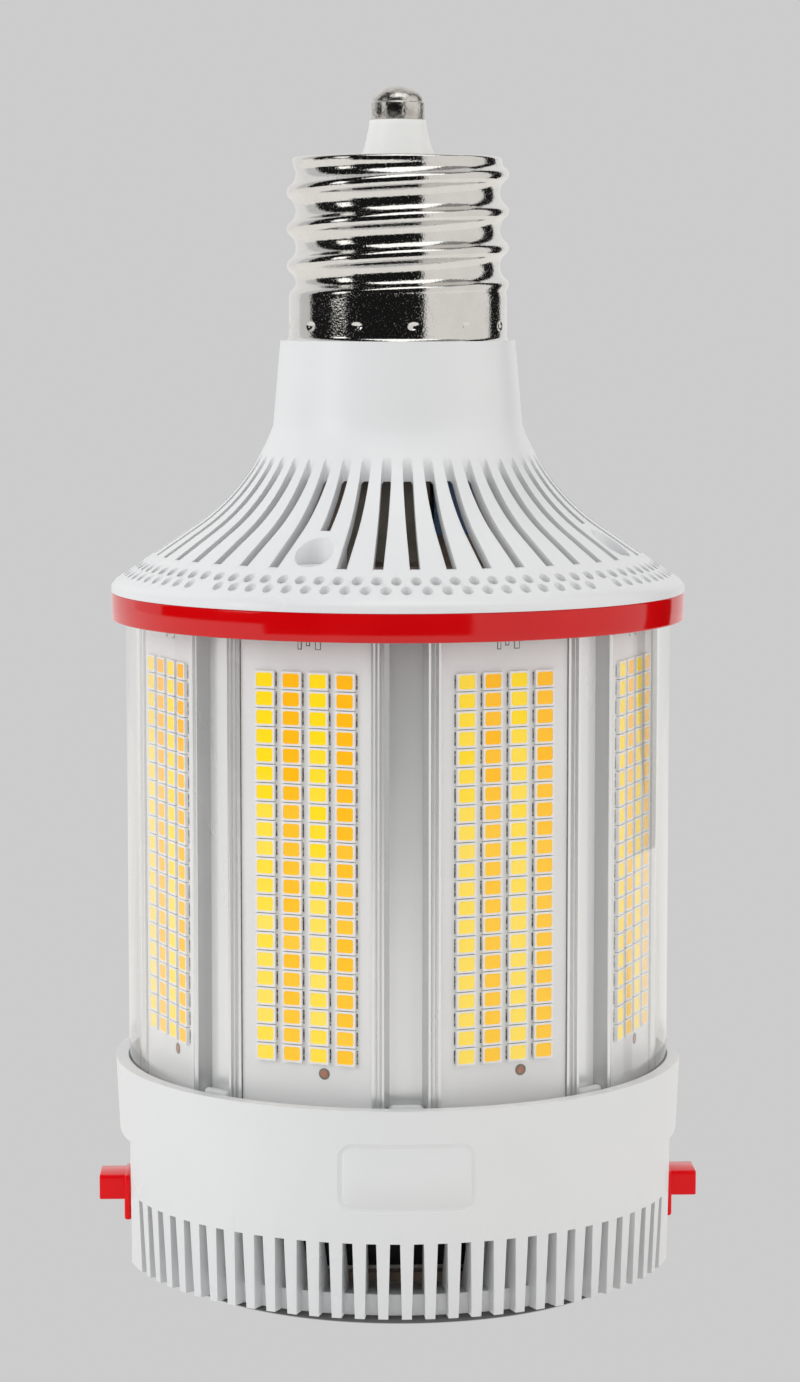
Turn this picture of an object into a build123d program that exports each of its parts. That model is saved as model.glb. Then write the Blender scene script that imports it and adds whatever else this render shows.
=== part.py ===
from build123d import *
import os
from math import cos, degrees, radians, sin, sqrt, tan

# Fan-cooled LED lamp with a mogul screw base. It stands base up on the fins of its vent cup.
# Millimetres and degrees. The lamp's axis is Z, the resting plane is z = 0 and the front faces -Y.
# An angle round the axis starts at the front and runs anticlockwise seen from above.

# Clear tube: everything round the light engine is sized from it
TUBE_R = 48.4
TUBE_WALL = 1.8
TUBE_VISIBLE = 78.5
TUBE_FIT = 0.2
TUBE_FOOT_SEAT = 8.4
TUBE_HEAD_SEAT = 1.5

# Trim ring
RING_WALL = 2.35
RING_HEIGHT = 4.9

# Eight-sided heat sink extrusion
SIDES = 8
SINK_FIT = 0.35
SINK_WALL = 2.4
SINK_STOP = 0.5
RIB_WIDTH = 2.3
RIB_RISE = 1.4
RIB_GROOVE = 0.35
CHANNEL_DEPTH = 2.5
WEB = 1.8
HUB_R = 9.0
HUB_WALL = 2.0
FIN_REACH = 18.0
PORT_INSET = 3.0
PORT_WALL = 1.7

# LED boards and packages
BOARD_WIDTH = 23.6
BOARD_THICK = 1.0
BOARD_FIT = 0.1
BOARD_END = 0.5
LED_COLUMNS = 4
LED_ROWS = 21
LED_PITCH = 4.85
LED_ROW_PITCH = 3.18
LED_WIDTH = 3.5
LED_HEIGHT = 2.8
LED_THICK = 0.7
LED_HEAD_GAP = 7.2

# Screws: nominal thread radius, clearance, head
SCREW_SIDES = 8
SCREW_R = 1.25
SCREW_FIT = 0.05
SCREW_PASS = 0.35
SCREW_HEAD_R = 2.4
SCREW_HEAD = 2.2
SCREW_BITE = 10.0

# Driver housing
HOUSING_WALL = 2.0
RIM_HEIGHT = 1.1
RIM_EDGE = 0.75
RIM_EDGE_RISE = 0.9
CONE_SLOPE = 34.0
FLARE_SLOPE = 70.0
FLARE_R = 36.0
NECK_TOP_R = 20.8
NECK_HEIGHT = 14.95
NECK_TAPER = 5.0
NECK_EDGE = 0.6
NECK_ROOF = 2.3
COLLAR_R = 21.0
COLLAR_DROP = 8.3
SPIGOT_HEIGHT = 8.0
SPIGOT_WALL = 2.0
SLOTS = 44
SLOT_WIDTH = 1.75
SLOT_TOP_R = 24.4
SLOT_FOOT_R = 43.2
SLOT_STOP = 1.6
POCKETS = 4
POCKET_TURN = -22.5
POCKET_R = 3.3
POCKET_FLOOR = 7.0
POCKET_FIT = 0.1
BOSS_HALF = 4.4
BOSS_SEAT = 2.5

# Mogul screw base
THREAD_R = 19.6
SKIRT_R = 19.27
SHELL_WALL = 0.5
SHELL_HEIGHT = 32.55
SHELL_FIT = 0.1
SKIRT_HEIGHT = 7.65
SHELL_MOUTH_R = 16.0
SHELL_CROWN = 1.8
INSULATOR_DISC = 3.0
CONE_FOOT_R = 6.5
CONE_TOP_R = 5.0
CONE_HEIGHT = 6.0
CONTACT_R = 4.75
CONTACT_SIDE = 3.0
CONTACT_HEIGHT = 6.0

# Vent cup
CUP_HEIGHT = 36.1
CUP_LIP = 2.2
CUP_FOOT_INSET = 1.75
CUP_EDGE = 0.6
CUP_WALL = 2.8
LEDGE = 2.0
LEDGE_WIDTH = 6.6
FLOOR_LIFT = 0.5
FLOOR = 1.6
FIN_FOOT = 2.55
SILL_DEPTH = 4.5
SILL_HEIGHT = 3.6
VENT_HEIGHT = 13.1
VENT_TOP_WIDTH = 1.7
VENT_FOOT_WIDTH = 2.3
VENT_PITCH = 4.65
VENTS_PER_SIDE = 30
FIN_INSET = 0.1
TAB_WIDTH = 5.6
TAB_THICK = 1.7
TAB_DROP = 0.3
TAB_EDGE = 0.7
TAB_FIT = 0.4
POST_HALF = 3.5
POST_TURN = 22.5
PANEL_INSET = 1.25
PANEL_HEIGHT = 22.9
PANEL_WALL = 2.0
PANEL_PAD = 20.0
GRILLE_SLOTS = 12
GRILLE_WIDTH = 3.6
GRILLE_EDGE = 1.5

# Selector sliders and their switches
SLIDER_Z = 11.85
SLIDER_TRAVEL = 1.5
SLIDER_FIT = 0.3
KNOB_REACH = 4.5
KNOB_WIDTH = 7.4
KNOB_HEIGHT = 4.5
KNOB_EDGE = 0.4
FLANGE_THICK = 1.3
FLANGE_WIDTH = 9.8
FLANGE_HEIGHT = 8.2
FLANGE_EDGE = 0.6
FLANGE_DROP = 1.7
STEM_WIDTH = 2.4
STEM_HEIGHT = 3.0
STEM_REACH = 3.1
SWITCH_DEPTH = 4.5
SWITCH_WIDTH = 14.0
SWITCH_HEIGHT = 7.0
SWITCH_WALL = 1.5
LEVER_REACH = 2.4
SWITCH_BOARD_WIDTH = 20.0
SWITCH_BOARD_HEIGHT = 16.0
GUIDE = 1.5
GUIDE_HEIGHT = 11.0

# Fan
FAN_CLEAR = 3.1
FAN_HEIGHT = 15.0
FAN_RIM = 1.5
FAN_HOLE_INSET = 5.0
FAN_HOLE_R = 2.15
FAN_CORNER = 3.0
FAN_TIP_GAP = 0.6
FAN_BLADES = 7
BLADE_THICK = 1.0
BLADE_TILT = 40.0
ROTOR_R = 12.5
ROTOR_WALL = 1.6
ROTOR_GAP = 0.8
ROTOR_TOP_GAP = 1.2
SPINDLE_R = 1.2
BEARING_WALL = 1.5
BEARING_HEIGHT = 7.0
HUB_PLATE = 1.8
STRUTS = 4
STRUT_WIDTH = 3.0
FAN_SCREW_R = 1.7
FAN_HEAD_R = 3.0
FAN_BOSS_HALF = 2.8
FAN_BOARD_LIP = 2.6
FAN_BOARD_GAP = 0.55
FAN_BOARD_THICK = 1.6
GASKET_THICK = 0.6

# Driver electronics
DRIVER_BOARD_THICK = 1.6
DRIVER_BOARD_FIT = 0.2
DRIVER_SKIRT_WIDTH = 54.0
DRIVER_SKIRT_HEIGHT = 8.5
DRIVER_FOOT_GAP = 4.5
RAIL_DEPTH = 3.0
TRANSFORMER_SIZE = (15.0, 15.0, 14.0)
TRANSFORMER_X = -2.5
FILM_CAP_SIZE = (7.0, 11.0, 9.5)
FILM_CAP_GAP = 1.0
BULK_CAP_R = 5.0
BULK_CAP_LENGTH = 13.0
BULK_CAP_SPREAD = 6.5
CHOKE_R = 7.5
CHOKE_LENGTH = 12.0
RECTIFIER_SIZE = (12.0, 4.2, 8.0)

# Heights worked out from the stack
Z_FLOOR = FLOOR_LIFT + FLOOR
Z_LEDGE = CUP_HEIGHT - TUBE_FOOT_SEAT
Z_HOUSING = CUP_HEIGHT + TUBE_VISIBLE + RING_HEIGHT
Z_SINK_TOP = Z_HOUSING - SINK_STOP
Z_TUBE_TOP = Z_HOUSING + TUBE_HEAD_SEAT
Z_CONE = Z_HOUSING + RIM_HEIGHT + RIM_EDGE_RISE

# Radii worked out from the tube
TUBE_BORE = TUBE_R - TUBE_WALL
TUBE_SEAT = TUBE_R + TUBE_FIT
RING_R = TUBE_SEAT + RING_WALL
CUP_R = TUBE_SEAT + CUP_LIP
CUP_FOOT_R = CUP_R - CUP_FOOT_INSET
LEDGE_R = TUBE_SEAT - LEDGE_WIDTH
SILL_R = CUP_FOOT_R - FIN_FOOT
SILL_INNER_R = SILL_R - SILL_DEPTH
PANEL_X = CUP_FOOT_R - PANEL_INSET

# Heat sink section: u runs along a face, v outwards from the axis
HALF_SIDE = 180.0 / SIDES
RIB_IN = BOARD_WIDTH / 2 + BOARD_FIT
RIB_OUT = RIB_IN + RIB_WIDTH
RIB_V = sqrt((TUBE_BORE - SINK_FIT) ** 2 - RIB_OUT ** 2)
SEAT_V = RIB_V - RIB_RISE
SINK_V = SEAT_V - SINK_WALL
CHANNEL_V = RIB_V - CHANNEL_DEPTH
CORNER_V = RIB_OUT * sin(radians(HALF_SIDE)) + CHANNEL_V * cos(radians(HALF_SIDE))
CORNER_IN_V = CORNER_V - SINK_WALL
BOLT_R = SEAT_V - PORT_INSET

# Flare of the housing: cone at the rim, then an arc that ends in a crease under the neck
NECK_FOOT_R = NECK_TOP_R + NECK_HEIGHT * tan(radians(NECK_TAPER))
CONE_FOOT = RING_R - RIM_EDGE
CONE_TOP = NECK_FOOT_R + FLARE_R * (sin(radians(FLARE_SLOPE)) - sin(radians(CONE_SLOPE)))
Z_CONE_TOP = Z_CONE + (CONE_FOOT - CONE_TOP) * tan(radians(CONE_SLOPE))
Z_NECK = Z_CONE_TOP + FLARE_R * (cos(radians(CONE_SLOPE)) - cos(radians(FLARE_SLOPE)))
Z_SHELL = Z_NECK + NECK_HEIGHT
Z_SHELL_TOP = Z_SHELL + SHELL_HEIGHT
Z_CONTACT = Z_SHELL_TOP + CONE_HEIGHT
FLARE_CENTRE_R = NECK_FOOT_R + FLARE_R * sin(radians(FLARE_SLOPE))
Z_FLARE_CENTRE = Z_NECK + FLARE_R * cos(radians(FLARE_SLOPE))

SHELL_BORE = SKIRT_R - SHELL_WALL
SPIGOT_R = SHELL_BORE - SHELL_FIT
SPIGOT_BORE = SPIGOT_R - SPIGOT_WALL
NECK_BORE = COLLAR_R - HOUSING_WALL
Z_COLLAR = Z_NECK - COLLAR_DROP
Z_ROOF = Z_SHELL - NECK_ROOF

# Fan as large as the posts round it allow, and its stack on the cup's floor
FAN_HALF = BOLT_R * cos(radians(POST_TURN)) - POST_HALF - FAN_CLEAR
FAN_BORE_R = FAN_HALF - FAN_RIM
Z_GASKET = Z_FLOOR + FAN_BOARD_THICK
Z_FAN = Z_GASKET + GASKET_THICK
Z_FAN_TOP = Z_FAN + FAN_HEIGHT

# Switch stack behind a panel
FLANGE_X = PANEL_X + SLIDER_FIT
KNOB_X = FLANGE_X + FLANGE_THICK
STEM_X = FLANGE_X - STEM_REACH
SWITCH_X = STEM_X - LEVER_REACH
SWITCH_BOARD_X = SWITCH_X - SWITCH_DEPTH


def block(x, y, z):
    """Box between a low and a high value on each axis."""
    size = (x[1] - x[0], y[1] - y[0], z[1] - z[0])
    return Pos((x[0] + x[1]) / 2, (y[0] + y[1]) / 2, (z[0] + z[1]) / 2) * Box(*size)


def rod(radius, low, high, x=0.0, y=0.0):
    """Upright cylinder between two heights."""
    return Pos(x, y, (low + high) / 2) * Cylinder(radius, high - low)


def screw_hole(radius, low, high, x=0.0, y=0.0):
    """Upright eight-sided hole for a screw's core."""
    return Pos(x, y, low) * extrude(RegularPolygon(radius, SCREW_SIDES), high - low)


def turned(corners):
    """Solid turned about the lamp's axis from (radius, height) corners."""
    outline = Polyline(*[(r, 0, z) for r, z in corners], close=True)
    return revolve(make_face(outline), Axis.Z)


def prism(corners, low, high):
    """Upright prism over a flat (x, y) outline."""
    outline = Polyline(*[(x, y, low) for x, y in corners], close=True)
    return extrude(make_face(outline), high - low, dir=(0, 0, 1))


def around(shape, angles):
    """Copies of a front-facing shape, turned about the lamp's axis."""
    return [Rot(0, 0, angle) * shape for angle in angles]


def quarter_turns(start, count=4):
    return [start + 360.0 / count * k for k in range(count)]


FACES = [HALF_SIDE + 2 * HALF_SIDE * k for k in range(SIDES)]
CORNERS = [2 * HALF_SIDE * k for k in range(SIDES)]
POCKET_ANGLES = quarter_turns(POCKET_TURN, POCKETS)
POST_ANGLES = quarter_turns(POST_TURN, POCKETS)


def center_contact():
    """Button with a straight side and a crown that is part of a sphere."""
    top = Z_CONTACT + CONTACT_HEIGHT
    side = Z_CONTACT + CONTACT_SIDE
    crown = CONTACT_HEIGHT - CONTACT_SIDE
    sphere_r = (CONTACT_R ** 2 + crown ** 2) / (2 * crown)
    button = rod(CONTACT_R, Z_CONTACT, top)
    return button & (rod(CONTACT_R, Z_CONTACT, side) + Pos(0, 0, top - sphere_r) * Sphere(sphere_r))


def base_insulator():
    """Disc inside the shell's crown and the cone that carries the contact."""
    seat = Z_SHELL_TOP - SHELL_WALL
    disc_r = SHELL_MOUTH_R + SHELL_WALL
    return turned([(0, Z_CONTACT), (CONE_TOP_R, Z_CONTACT), (CONE_FOOT_R, Z_SHELL_TOP),
                   (CONE_FOOT_R, seat), (disc_r, seat), (disc_r, seat - INSULATOR_DISC),
                   (0, seat - INSULATOR_DISC)])


def screw_shell():
    """Shell at the thread's major radius, its crown turned in over the insulator."""
    step = Z_SHELL + SKIRT_HEIGHT
    crown = Z_SHELL_TOP - SHELL_CROWN
    mouth = CONE_FOOT_R + SHELL_FIT
    bore = THREAD_R - SHELL_WALL
    return turned([(SKIRT_R, Z_SHELL), (SKIRT_R, step), (THREAD_R, step), (THREAD_R, crown),
                   (SHELL_MOUTH_R + SHELL_CROWN, Z_SHELL_TOP), (mouth, Z_SHELL_TOP),
                   (mouth, Z_SHELL_TOP - SHELL_WALL),
                   (SHELL_MOUTH_R + SHELL_CROWN - SHELL_WALL, Z_SHELL_TOP - SHELL_WALL),
                   (bore, crown - SHELL_WALL), (bore, step + SHELL_WALL),
                   (SHELL_BORE, step), (SHELL_BORE, Z_SHELL)])


def flare_point(slope, depth=0.0):
    """Point of the flare's arc where it has this slope, or below it by a wall."""
    reach = FLARE_R + depth
    return (FLARE_CENTRE_R - reach * sin(radians(slope)), Z_FLARE_CENTRE - reach * cos(radians(slope)))


def housing_shell():
    """Neck, flare and rim as one turned wall with a collar hanging inside the neck."""
    middle = (CONE_SLOPE + FLARE_SLOPE) / 2
    inner = [flare_point(slope, HOUSING_WALL) for slope in (CONE_SLOPE, middle)]
    shoulder = TUBE_BORE - TUBE_FIT
    cone_under = HOUSING_WALL / cos(radians(CONE_SLOPE))
    shoulder_z = Z_CONE + (CONE_FOOT - shoulder) * tan(radians(CONE_SLOPE)) - cone_under
    under_neck = Z_NECK - HOUSING_WALL
    upper = Polyline((SPIGOT_BORE, 0, Z_ROOF), (SPIGOT_BORE, 0, Z_SHELL + SPIGOT_HEIGHT),
                     (SPIGOT_R, 0, Z_SHELL + SPIGOT_HEIGHT), (SPIGOT_R, 0, Z_SHELL),
                     (NECK_TOP_R - NECK_EDGE, 0, Z_SHELL), (NECK_TOP_R, 0, Z_SHELL - NECK_EDGE),
                     (NECK_FOOT_R, 0, Z_NECK))
    ends = [flare_point(slope) for slope in (FLARE_SLOPE, middle, CONE_SLOPE)]
    flare = ThreePointArc(*[(r, 0, z) for r, z in ends])
    lower = Polyline((CONE_TOP, 0, Z_CONE_TOP), (CONE_FOOT, 0, Z_CONE),
                     (RING_R, 0, Z_HOUSING + RIM_HEIGHT), (RING_R, 0, Z_HOUSING),
                     (TUBE_SEAT, 0, Z_HOUSING), (TUBE_SEAT, 0, Z_TUBE_TOP), (shoulder, 0, Z_TUBE_TOP),
                     (shoulder, 0, shoulder_z), *[(r, 0, z) for r, z in inner],
                     (COLLAR_R, 0, under_neck), (COLLAR_R, 0, Z_COLLAR), (NECK_BORE, 0, Z_COLLAR),
                     (NECK_BORE, 0, Z_ROOF), (SPIGOT_BORE, 0, Z_ROOF))
    return revolve(make_face([upper, flare, lower]), Axis.Z)


def slot_cutter(foot_r):
    """Upright cutter for one cooling slot: eased inner end, square outer end."""
    half = SLOT_WIDTH / 2
    return prism([(-half, -foot_r), (half, -foot_r), (half, -SLOT_TOP_R - half),
                  (half / 2, -SLOT_TOP_R), (-half / 2, -SLOT_TOP_R), (-half, -SLOT_TOP_R - half)],
                 Z_TUBE_TOP, Z_NECK)


def housing_boss():
    """Screw column that stands on the heat sink and ends inside the flare's wall."""
    middle = Z_CONE + (CONE_FOOT - BOLT_R) * tan(radians(CONE_SLOPE))
    middle -= HOUSING_WALL / 2 / cos(radians(CONE_SLOPE))
    slope = radians(CONE_SLOPE)
    lid = Plane(origin=(0, -BOLT_R, middle), z_dir=(0, -sin(slope), cos(slope)))
    column = block((-BOSS_HALF, BOSS_HALF), (-BOLT_R - BOSS_HALF, -BOLT_R + BOSS_HALF), (Z_SINK_TOP, Z_NECK))
    return split(column, bisect_by=lid, keep=Keep.BOTTOM)


def board_rails():
    """Two pairs of ribs in the collar that grip the driver board's edges."""
    half = DRIVER_BOARD_THICK / 2 + DRIVER_BOARD_FIT / 2
    rail = block((NECK_BORE - RAIL_DEPTH, NECK_BORE + HOUSING_WALL / 2), (half, half + HOUSING_WALL),
                 (Z_COLLAR, Z_ROOF))
    pair = [rail, mirror(rail, Plane.XZ)]
    return pair + [mirror(rib, Plane.YZ) for rib in pair]


def driver_housing():
    pitch = 360.0 / SLOTS
    per_pocket = SLOTS // POCKETS
    angles = [POCKET_TURN + pitch * k for k in range(SLOTS)]
    short = [angle for k, angle in enumerate(angles) if k % per_pocket == 0]
    full = [angle for k, angle in enumerate(angles) if k % per_pocket]
    short_foot = BOLT_R - POCKET_R - SLOT_STOP
    pocket = rod(POCKET_R, Z_SINK_TOP + BOSS_SEAT, Z_NECK, y=-BOLT_R)
    hole = screw_hole(SCREW_R + SCREW_PASS, Z_SINK_TOP, Z_NECK, y=-BOLT_R)
    body = housing_shell() + around(housing_boss(), POCKET_ANGLES) + board_rails()
    body -= around(slot_cutter(SLOT_FOOT_R), full) + around(slot_cutter(short_foot), short)
    return body - around(pocket, POCKET_ANGLES) - around(hole, POCKET_ANGLES)


def screw_plugs():
    """Push-in plugs that hide the housing screws at the bottom of the pockets."""
    low = Z_SINK_TOP + BOSS_SEAT + SCREW_HEAD
    plug = rod(POCKET_R - POCKET_FIT, low, Z_HOUSING + POCKET_FLOOR, y=-BOLT_R)
    return around(plug, POCKET_ANGLES)


def screw(radius, head_r, head_z, tip_z, up=True):
    """Hexagon-headed screw on the axis, bearing face at head_z, its thread left as an eight-sided core."""
    length = abs(tip_z - head_z)
    core = extrude(RegularPolygon(radius, SCREW_SIDES), -length)
    core += extrude(RegularPolygon(head_r, 6), SCREW_HEAD)
    return Pos(0, 0, head_z) * (core if up else Rot(180, 0, 0) * core)


def housing_screws():
    fastener = screw(SCREW_R, SCREW_HEAD_R, Z_SINK_TOP + BOSS_SEAT, Z_SINK_TOP - SCREW_BITE)
    return around(Pos(0, -BOLT_R, 0) * fastener, POCKET_ANGLES)


def cup_screws():
    fastener = screw(SCREW_R, SCREW_HEAD_R, FLOOR_LIFT + SCREW_HEAD, Z_LEDGE + SCREW_BITE, up=False)
    return around(Pos(0, -BOLT_R, 0) * fastener, POST_ANGLES)


def trim_ring():
    low = Z_HOUSING - RING_HEIGHT
    return turned([(TUBE_SEAT, low), (RING_R, low), (RING_R, Z_HOUSING), (TUBE_SEAT, Z_HOUSING)])


def lens_tube():
    return turned([(TUBE_BORE, Z_LEDGE), (TUBE_R, Z_LEDGE), (TUBE_R, Z_TUBE_TOP), (TUBE_BORE, Z_TUBE_TOP)])


def face_frame(angle, points):
    """Turns (u, v) points of the front face to plan points of the face at this angle."""
    turn = radians(angle)
    return [(u * cos(turn) + v * sin(turn), u * sin(turn) - v * cos(turn)) for u, v in points]


def sink_outline():
    """Outer outline: board seat, grooved rib and half a corner channel, mirrored on each face."""
    half = [(RIB_IN, SEAT_V), (RIB_IN, RIB_V)]
    for k in (1, 2):
        groove = RIB_IN + RIB_WIDTH * k / 3
        half += [(groove - RIB_GROOVE, RIB_V), (groove, RIB_V - RIB_GROOVE), (groove + RIB_GROOVE, RIB_V)]
    half += [(RIB_OUT, RIB_V), (RIB_OUT, CHANNEL_V)]
    side = [(-u, v) for u, v in reversed(half)] + half
    return [point for angle in FACES for point in face_frame(angle, side)]


def sink_core():
    """Inner outline of the extrusion's wall: flats behind the boards and behind the channels."""
    slope = radians(HALF_SIDE)
    edge = (CORNER_IN_V - SINK_V * cos(slope)) / sin(slope)
    return [point for angle in FACES for point in face_frame(angle, [(-edge, SINK_V), (edge, SINK_V)])]


def hub_prism(reach):
    """Prism of the extrusion's own number of sides, corners on the webs."""
    corners = [(reach * sin(radians(angle)), -reach * cos(radians(angle))) for angle in CORNERS]
    return prism(corners, Z_LEDGE, Z_SINK_TOP)


def heat_sink():
    """Extrusion: ribbed wall, webs from a hub to the corners, and a fin with a screw port on each face."""
    span = (Z_LEDGE, Z_SINK_TOP)
    body = prism(sink_outline(), *span) - prism(sink_core(), *span)
    web = block((-WEB / 2, WEB / 2), (-CORNER_V + SINK_WALL / 2, -HUB_R + HUB_WALL / 2), span)
    fin = block((-WEB / 2, WEB / 2), (-BOLT_R, -SINK_V + FIN_REACH), span)
    port_half = SCREW_R + SCREW_FIT + PORT_WALL
    port = block((-port_half, port_half), (-SINK_V, -BOLT_R + port_half), span)
    hole = screw_hole(SCREW_R + SCREW_FIT, *span, y=-BOLT_R)
    body += around(web, CORNERS) + around(fin, FACES) + around(port, FACES)
    body += hub_prism(HUB_R) - hub_prism(HUB_R - HUB_WALL)
    return body - around(hole, FACES)


def led_board():
    return block((-BOARD_WIDTH / 2, BOARD_WIDTH / 2), (-SEAT_V - BOARD_THICK, -SEAT_V),
                 (Z_LEDGE + BOARD_END, Z_SINK_TOP - BOARD_END))


def led_array():
    """Packages of one board, columns side by side and rows from the ring downwards."""
    face = -SEAT_V - BOARD_THICK
    top = Z_HOUSING - RING_HEIGHT - LED_HEAD_GAP
    package = Pos(0, face - LED_THICK / 2, 0) * Box(LED_WIDTH, LED_THICK, LED_HEIGHT)
    return [Pos((column - (LED_COLUMNS - 1) / 2) * LED_PITCH, 0, top - row * LED_ROW_PITCH) * package
            for column in range(LED_COLUMNS) for row in range(LED_ROWS)]


def cup_wall():
    """Turned wall, ledge, gusset, sill and floor of the cup."""
    vent_r = cup_radius(VENT_HEIGHT) - CUP_WALL
    under_ledge = cup_radius(Z_LEDGE - LEDGE) - CUP_WALL
    return turned([(0, FLOOR_LIFT), (SILL_R, FLOOR_LIFT), (SILL_R, 0), (CUP_FOOT_R, 0),
                   (CUP_R, CUP_HEIGHT - CUP_EDGE), (CUP_R - CUP_EDGE, CUP_HEIGHT),
                   (TUBE_SEAT, CUP_HEIGHT), (TUBE_SEAT, Z_LEDGE), (LEDGE_R, Z_LEDGE),
                   (LEDGE_R, Z_LEDGE - LEDGE), (under_ledge, Z_LEDGE - LEDGE), (vent_r, VENT_HEIGHT),
                   (SILL_INNER_R, SILL_HEIGHT), (SILL_INNER_R, Z_FLOOR), (0, Z_FLOOR)])


def cup_radius(z):
    """Outer radius of the drafted wall at a height."""
    return CUP_FOOT_R + CUP_FOOT_INSET * z / CUP_HEIGHT


def vent_opening():
    """Sector of the wall that the front vents take up: through it above the sill, half through below."""
    span = (VENTS_PER_SIDE - 1) * VENT_PITCH + degrees(VENT_TOP_WIDTH / SILL_R)
    section = [(SILL_INNER_R, SILL_HEIGHT), (SILL_INNER_R, VENT_HEIGHT), (CUP_R, VENT_HEIGHT), (CUP_R, 0),
               (SILL_R, 0), (SILL_R, SILL_HEIGHT)]
    face = make_face(Polyline(*[(r, 0, z) for r, z in section], close=True))
    return Rot(0, 0, -90 - span / 2) * revolve(face, Axis.Z, span)


def vent_fin():
    """One tapered fin of the front: gusset section, wider at the wall than at its tip."""
    pitch = radians(VENT_PITCH)
    top = cup_radius(VENT_HEIGHT)
    top_half = (top * pitch - VENT_TOP_WIDTH) / 2
    foot_half = (CUP_FOOT_R * pitch - VENT_FOOT_WIDTH) / 2
    outline = [(-top_half, VENT_HEIGHT), (top_half, VENT_HEIGHT), (foot_half, 0), (-foot_half, 0)]
    tip = SILL_R - 3 * FIN_INSET
    root = SILL_INNER_R + FIN_INSET
    section = [(CUP_FOOT_R - FIN_INSET, 0), (top - FIN_INSET, VENT_HEIGHT),
               (top - CUP_WALL + FIN_INSET, VENT_HEIGHT), (root, SILL_HEIGHT), (root, Z_FLOOR),
               (tip, Z_FLOOR), (tip, 0)]
    front = make_face(Polyline(*[(x, -CUP_R, z) for x, z in outline], close=True))
    side = make_face(Polyline(*[(-CUP_WALL, -r, z) for r, z in section], close=True))
    return extrude(front, CUP_R, dir=(0, 1, 0)) & extrude(side, 2 * CUP_WALL, dir=(1, 0, 0))


def cup_tab():
    """Tab that stands in a corner channel of the heat sink."""
    outer = CORNER_V + TAB_FIT + TAB_THICK
    half = TAB_WIDTH / 2
    top = CUP_HEIGHT - TAB_DROP
    outline = [(-half, Z_LEDGE - LEDGE / 2), (half, Z_LEDGE - LEDGE / 2), (half, top - TAB_EDGE),
               (half - TAB_EDGE, top), (TAB_EDGE - half, top), (-half, top - TAB_EDGE)]
    face = make_face(Polyline(*[(x, -outer, z) for x, z in outline], close=True))
    return extrude(face, TAB_THICK, dir=(0, 1, 0))


def panel_pad():
    """Backing that keeps the wall thick behind the flat of the +X panel."""
    half = PANEL_PAD / 2
    return block((PANEL_X - PANEL_WALL, PANEL_X), (-half, half), (Z_FLOOR, Z_LEDGE - LEDGE / 2))


def panel_cutter():
    """Flat panel on the +X side, open at the foot."""
    return block((PANEL_X, CUP_R + CUP_LIP), (-CUP_R / 2, CUP_R / 2), (0, PANEL_HEIGHT))


def slider_slot():
    """Slot in the +X panel for the slider's stem."""
    half_y = STEM_WIDTH / 2 + SLIDER_TRAVEL + SLIDER_FIT
    half_z = STEM_HEIGHT / 2 + SLIDER_FIT
    return block((SWITCH_X, CUP_R), (-half_y, half_y), (SLIDER_Z - half_z, SLIDER_Z + half_z))


def board_guides():
    """Posts on the floor beside the +X switch board."""
    near = SWITCH_BOARD_WIDTH / 2 + SLIDER_FIT
    guide = block((SWITCH_BOARD_X - DRIVER_BOARD_THICK, SWITCH_BOARD_X), (near, near + GUIDE),
                  (Z_FLOOR - FLOOR / 2, Z_FLOOR + GUIDE_HEIGHT))
    return [guide, mirror(guide, Plane.XZ)]


def fan_corners():
    half = FAN_HALF - FAN_HOLE_INSET
    return [(x, y) for x in (-half, half) for y in (-half, half)]


def vent_cup():
    fan_boss = block((-FAN_BOSS_HALF, FAN_BOSS_HALF), (-FAN_BOSS_HALF, FAN_BOSS_HALF),
                     (Z_FLOOR - FLOOR / 2, Z_FAN))
    fan_bosses = [Pos(x, y, 0) * Rot(0, 0, 45) * fan_boss for x, y in fan_corners()]
    boss_holes = [screw_hole(FAN_SCREW_R + SCREW_FIT, Z_FLOOR - FLOOR / 2, Z_FAN, x, y)
                  for x, y in fan_corners()]
    post = block((-POST_HALF, POST_HALF), (-BOLT_R - POST_HALF, -BOLT_R + POST_HALF),
                 (Z_FLOOR - FLOOR / 2, Z_LEDGE))
    post_hole = screw_hole(SCREW_R + SCREW_PASS, FLOOR_LIFT, Z_LEDGE, y=-BOLT_R)
    head_half = SCREW_HEAD_R + SCREW_PASS
    head_pocket = block((-head_half, head_half), (-BOLT_R - head_half, -BOLT_R + head_half),
                        (FLOOR_LIFT, FLOOR_LIFT + SCREW_HEAD))
    grille = block((-GRILLE_WIDTH / 2, GRILLE_WIDTH / 2), (GRILLE_EDGE - FAN_BORE_R, -ROTOR_R), (0, Z_FLOOR))
    fins = VENTS_PER_SIDE - 1
    fin_angles = [side + (k - (fins - 1) / 2) * VENT_PITCH for side in (0, 180) for k in range(fins)]
    body = cup_wall() + around(panel_pad(), (0, 180))
    body -= around(panel_cutter(), (0, 180)) + around(vent_opening(), (0, 180))
    body += around(vent_fin(), fin_angles) + around(cup_tab(), CORNERS)
    body += around(post, POST_ANGLES) + fan_bosses
    body += board_guides() + [mirror(guide, Plane.YZ) for guide in board_guides()]
    body -= around(slider_slot(), (0, 180)) + around(post_hole, POST_ANGLES) + boss_holes
    return body - around(head_pocket, POST_ANGLES) - around(grille, quarter_turns(0, GRILLE_SLOTS))


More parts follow.
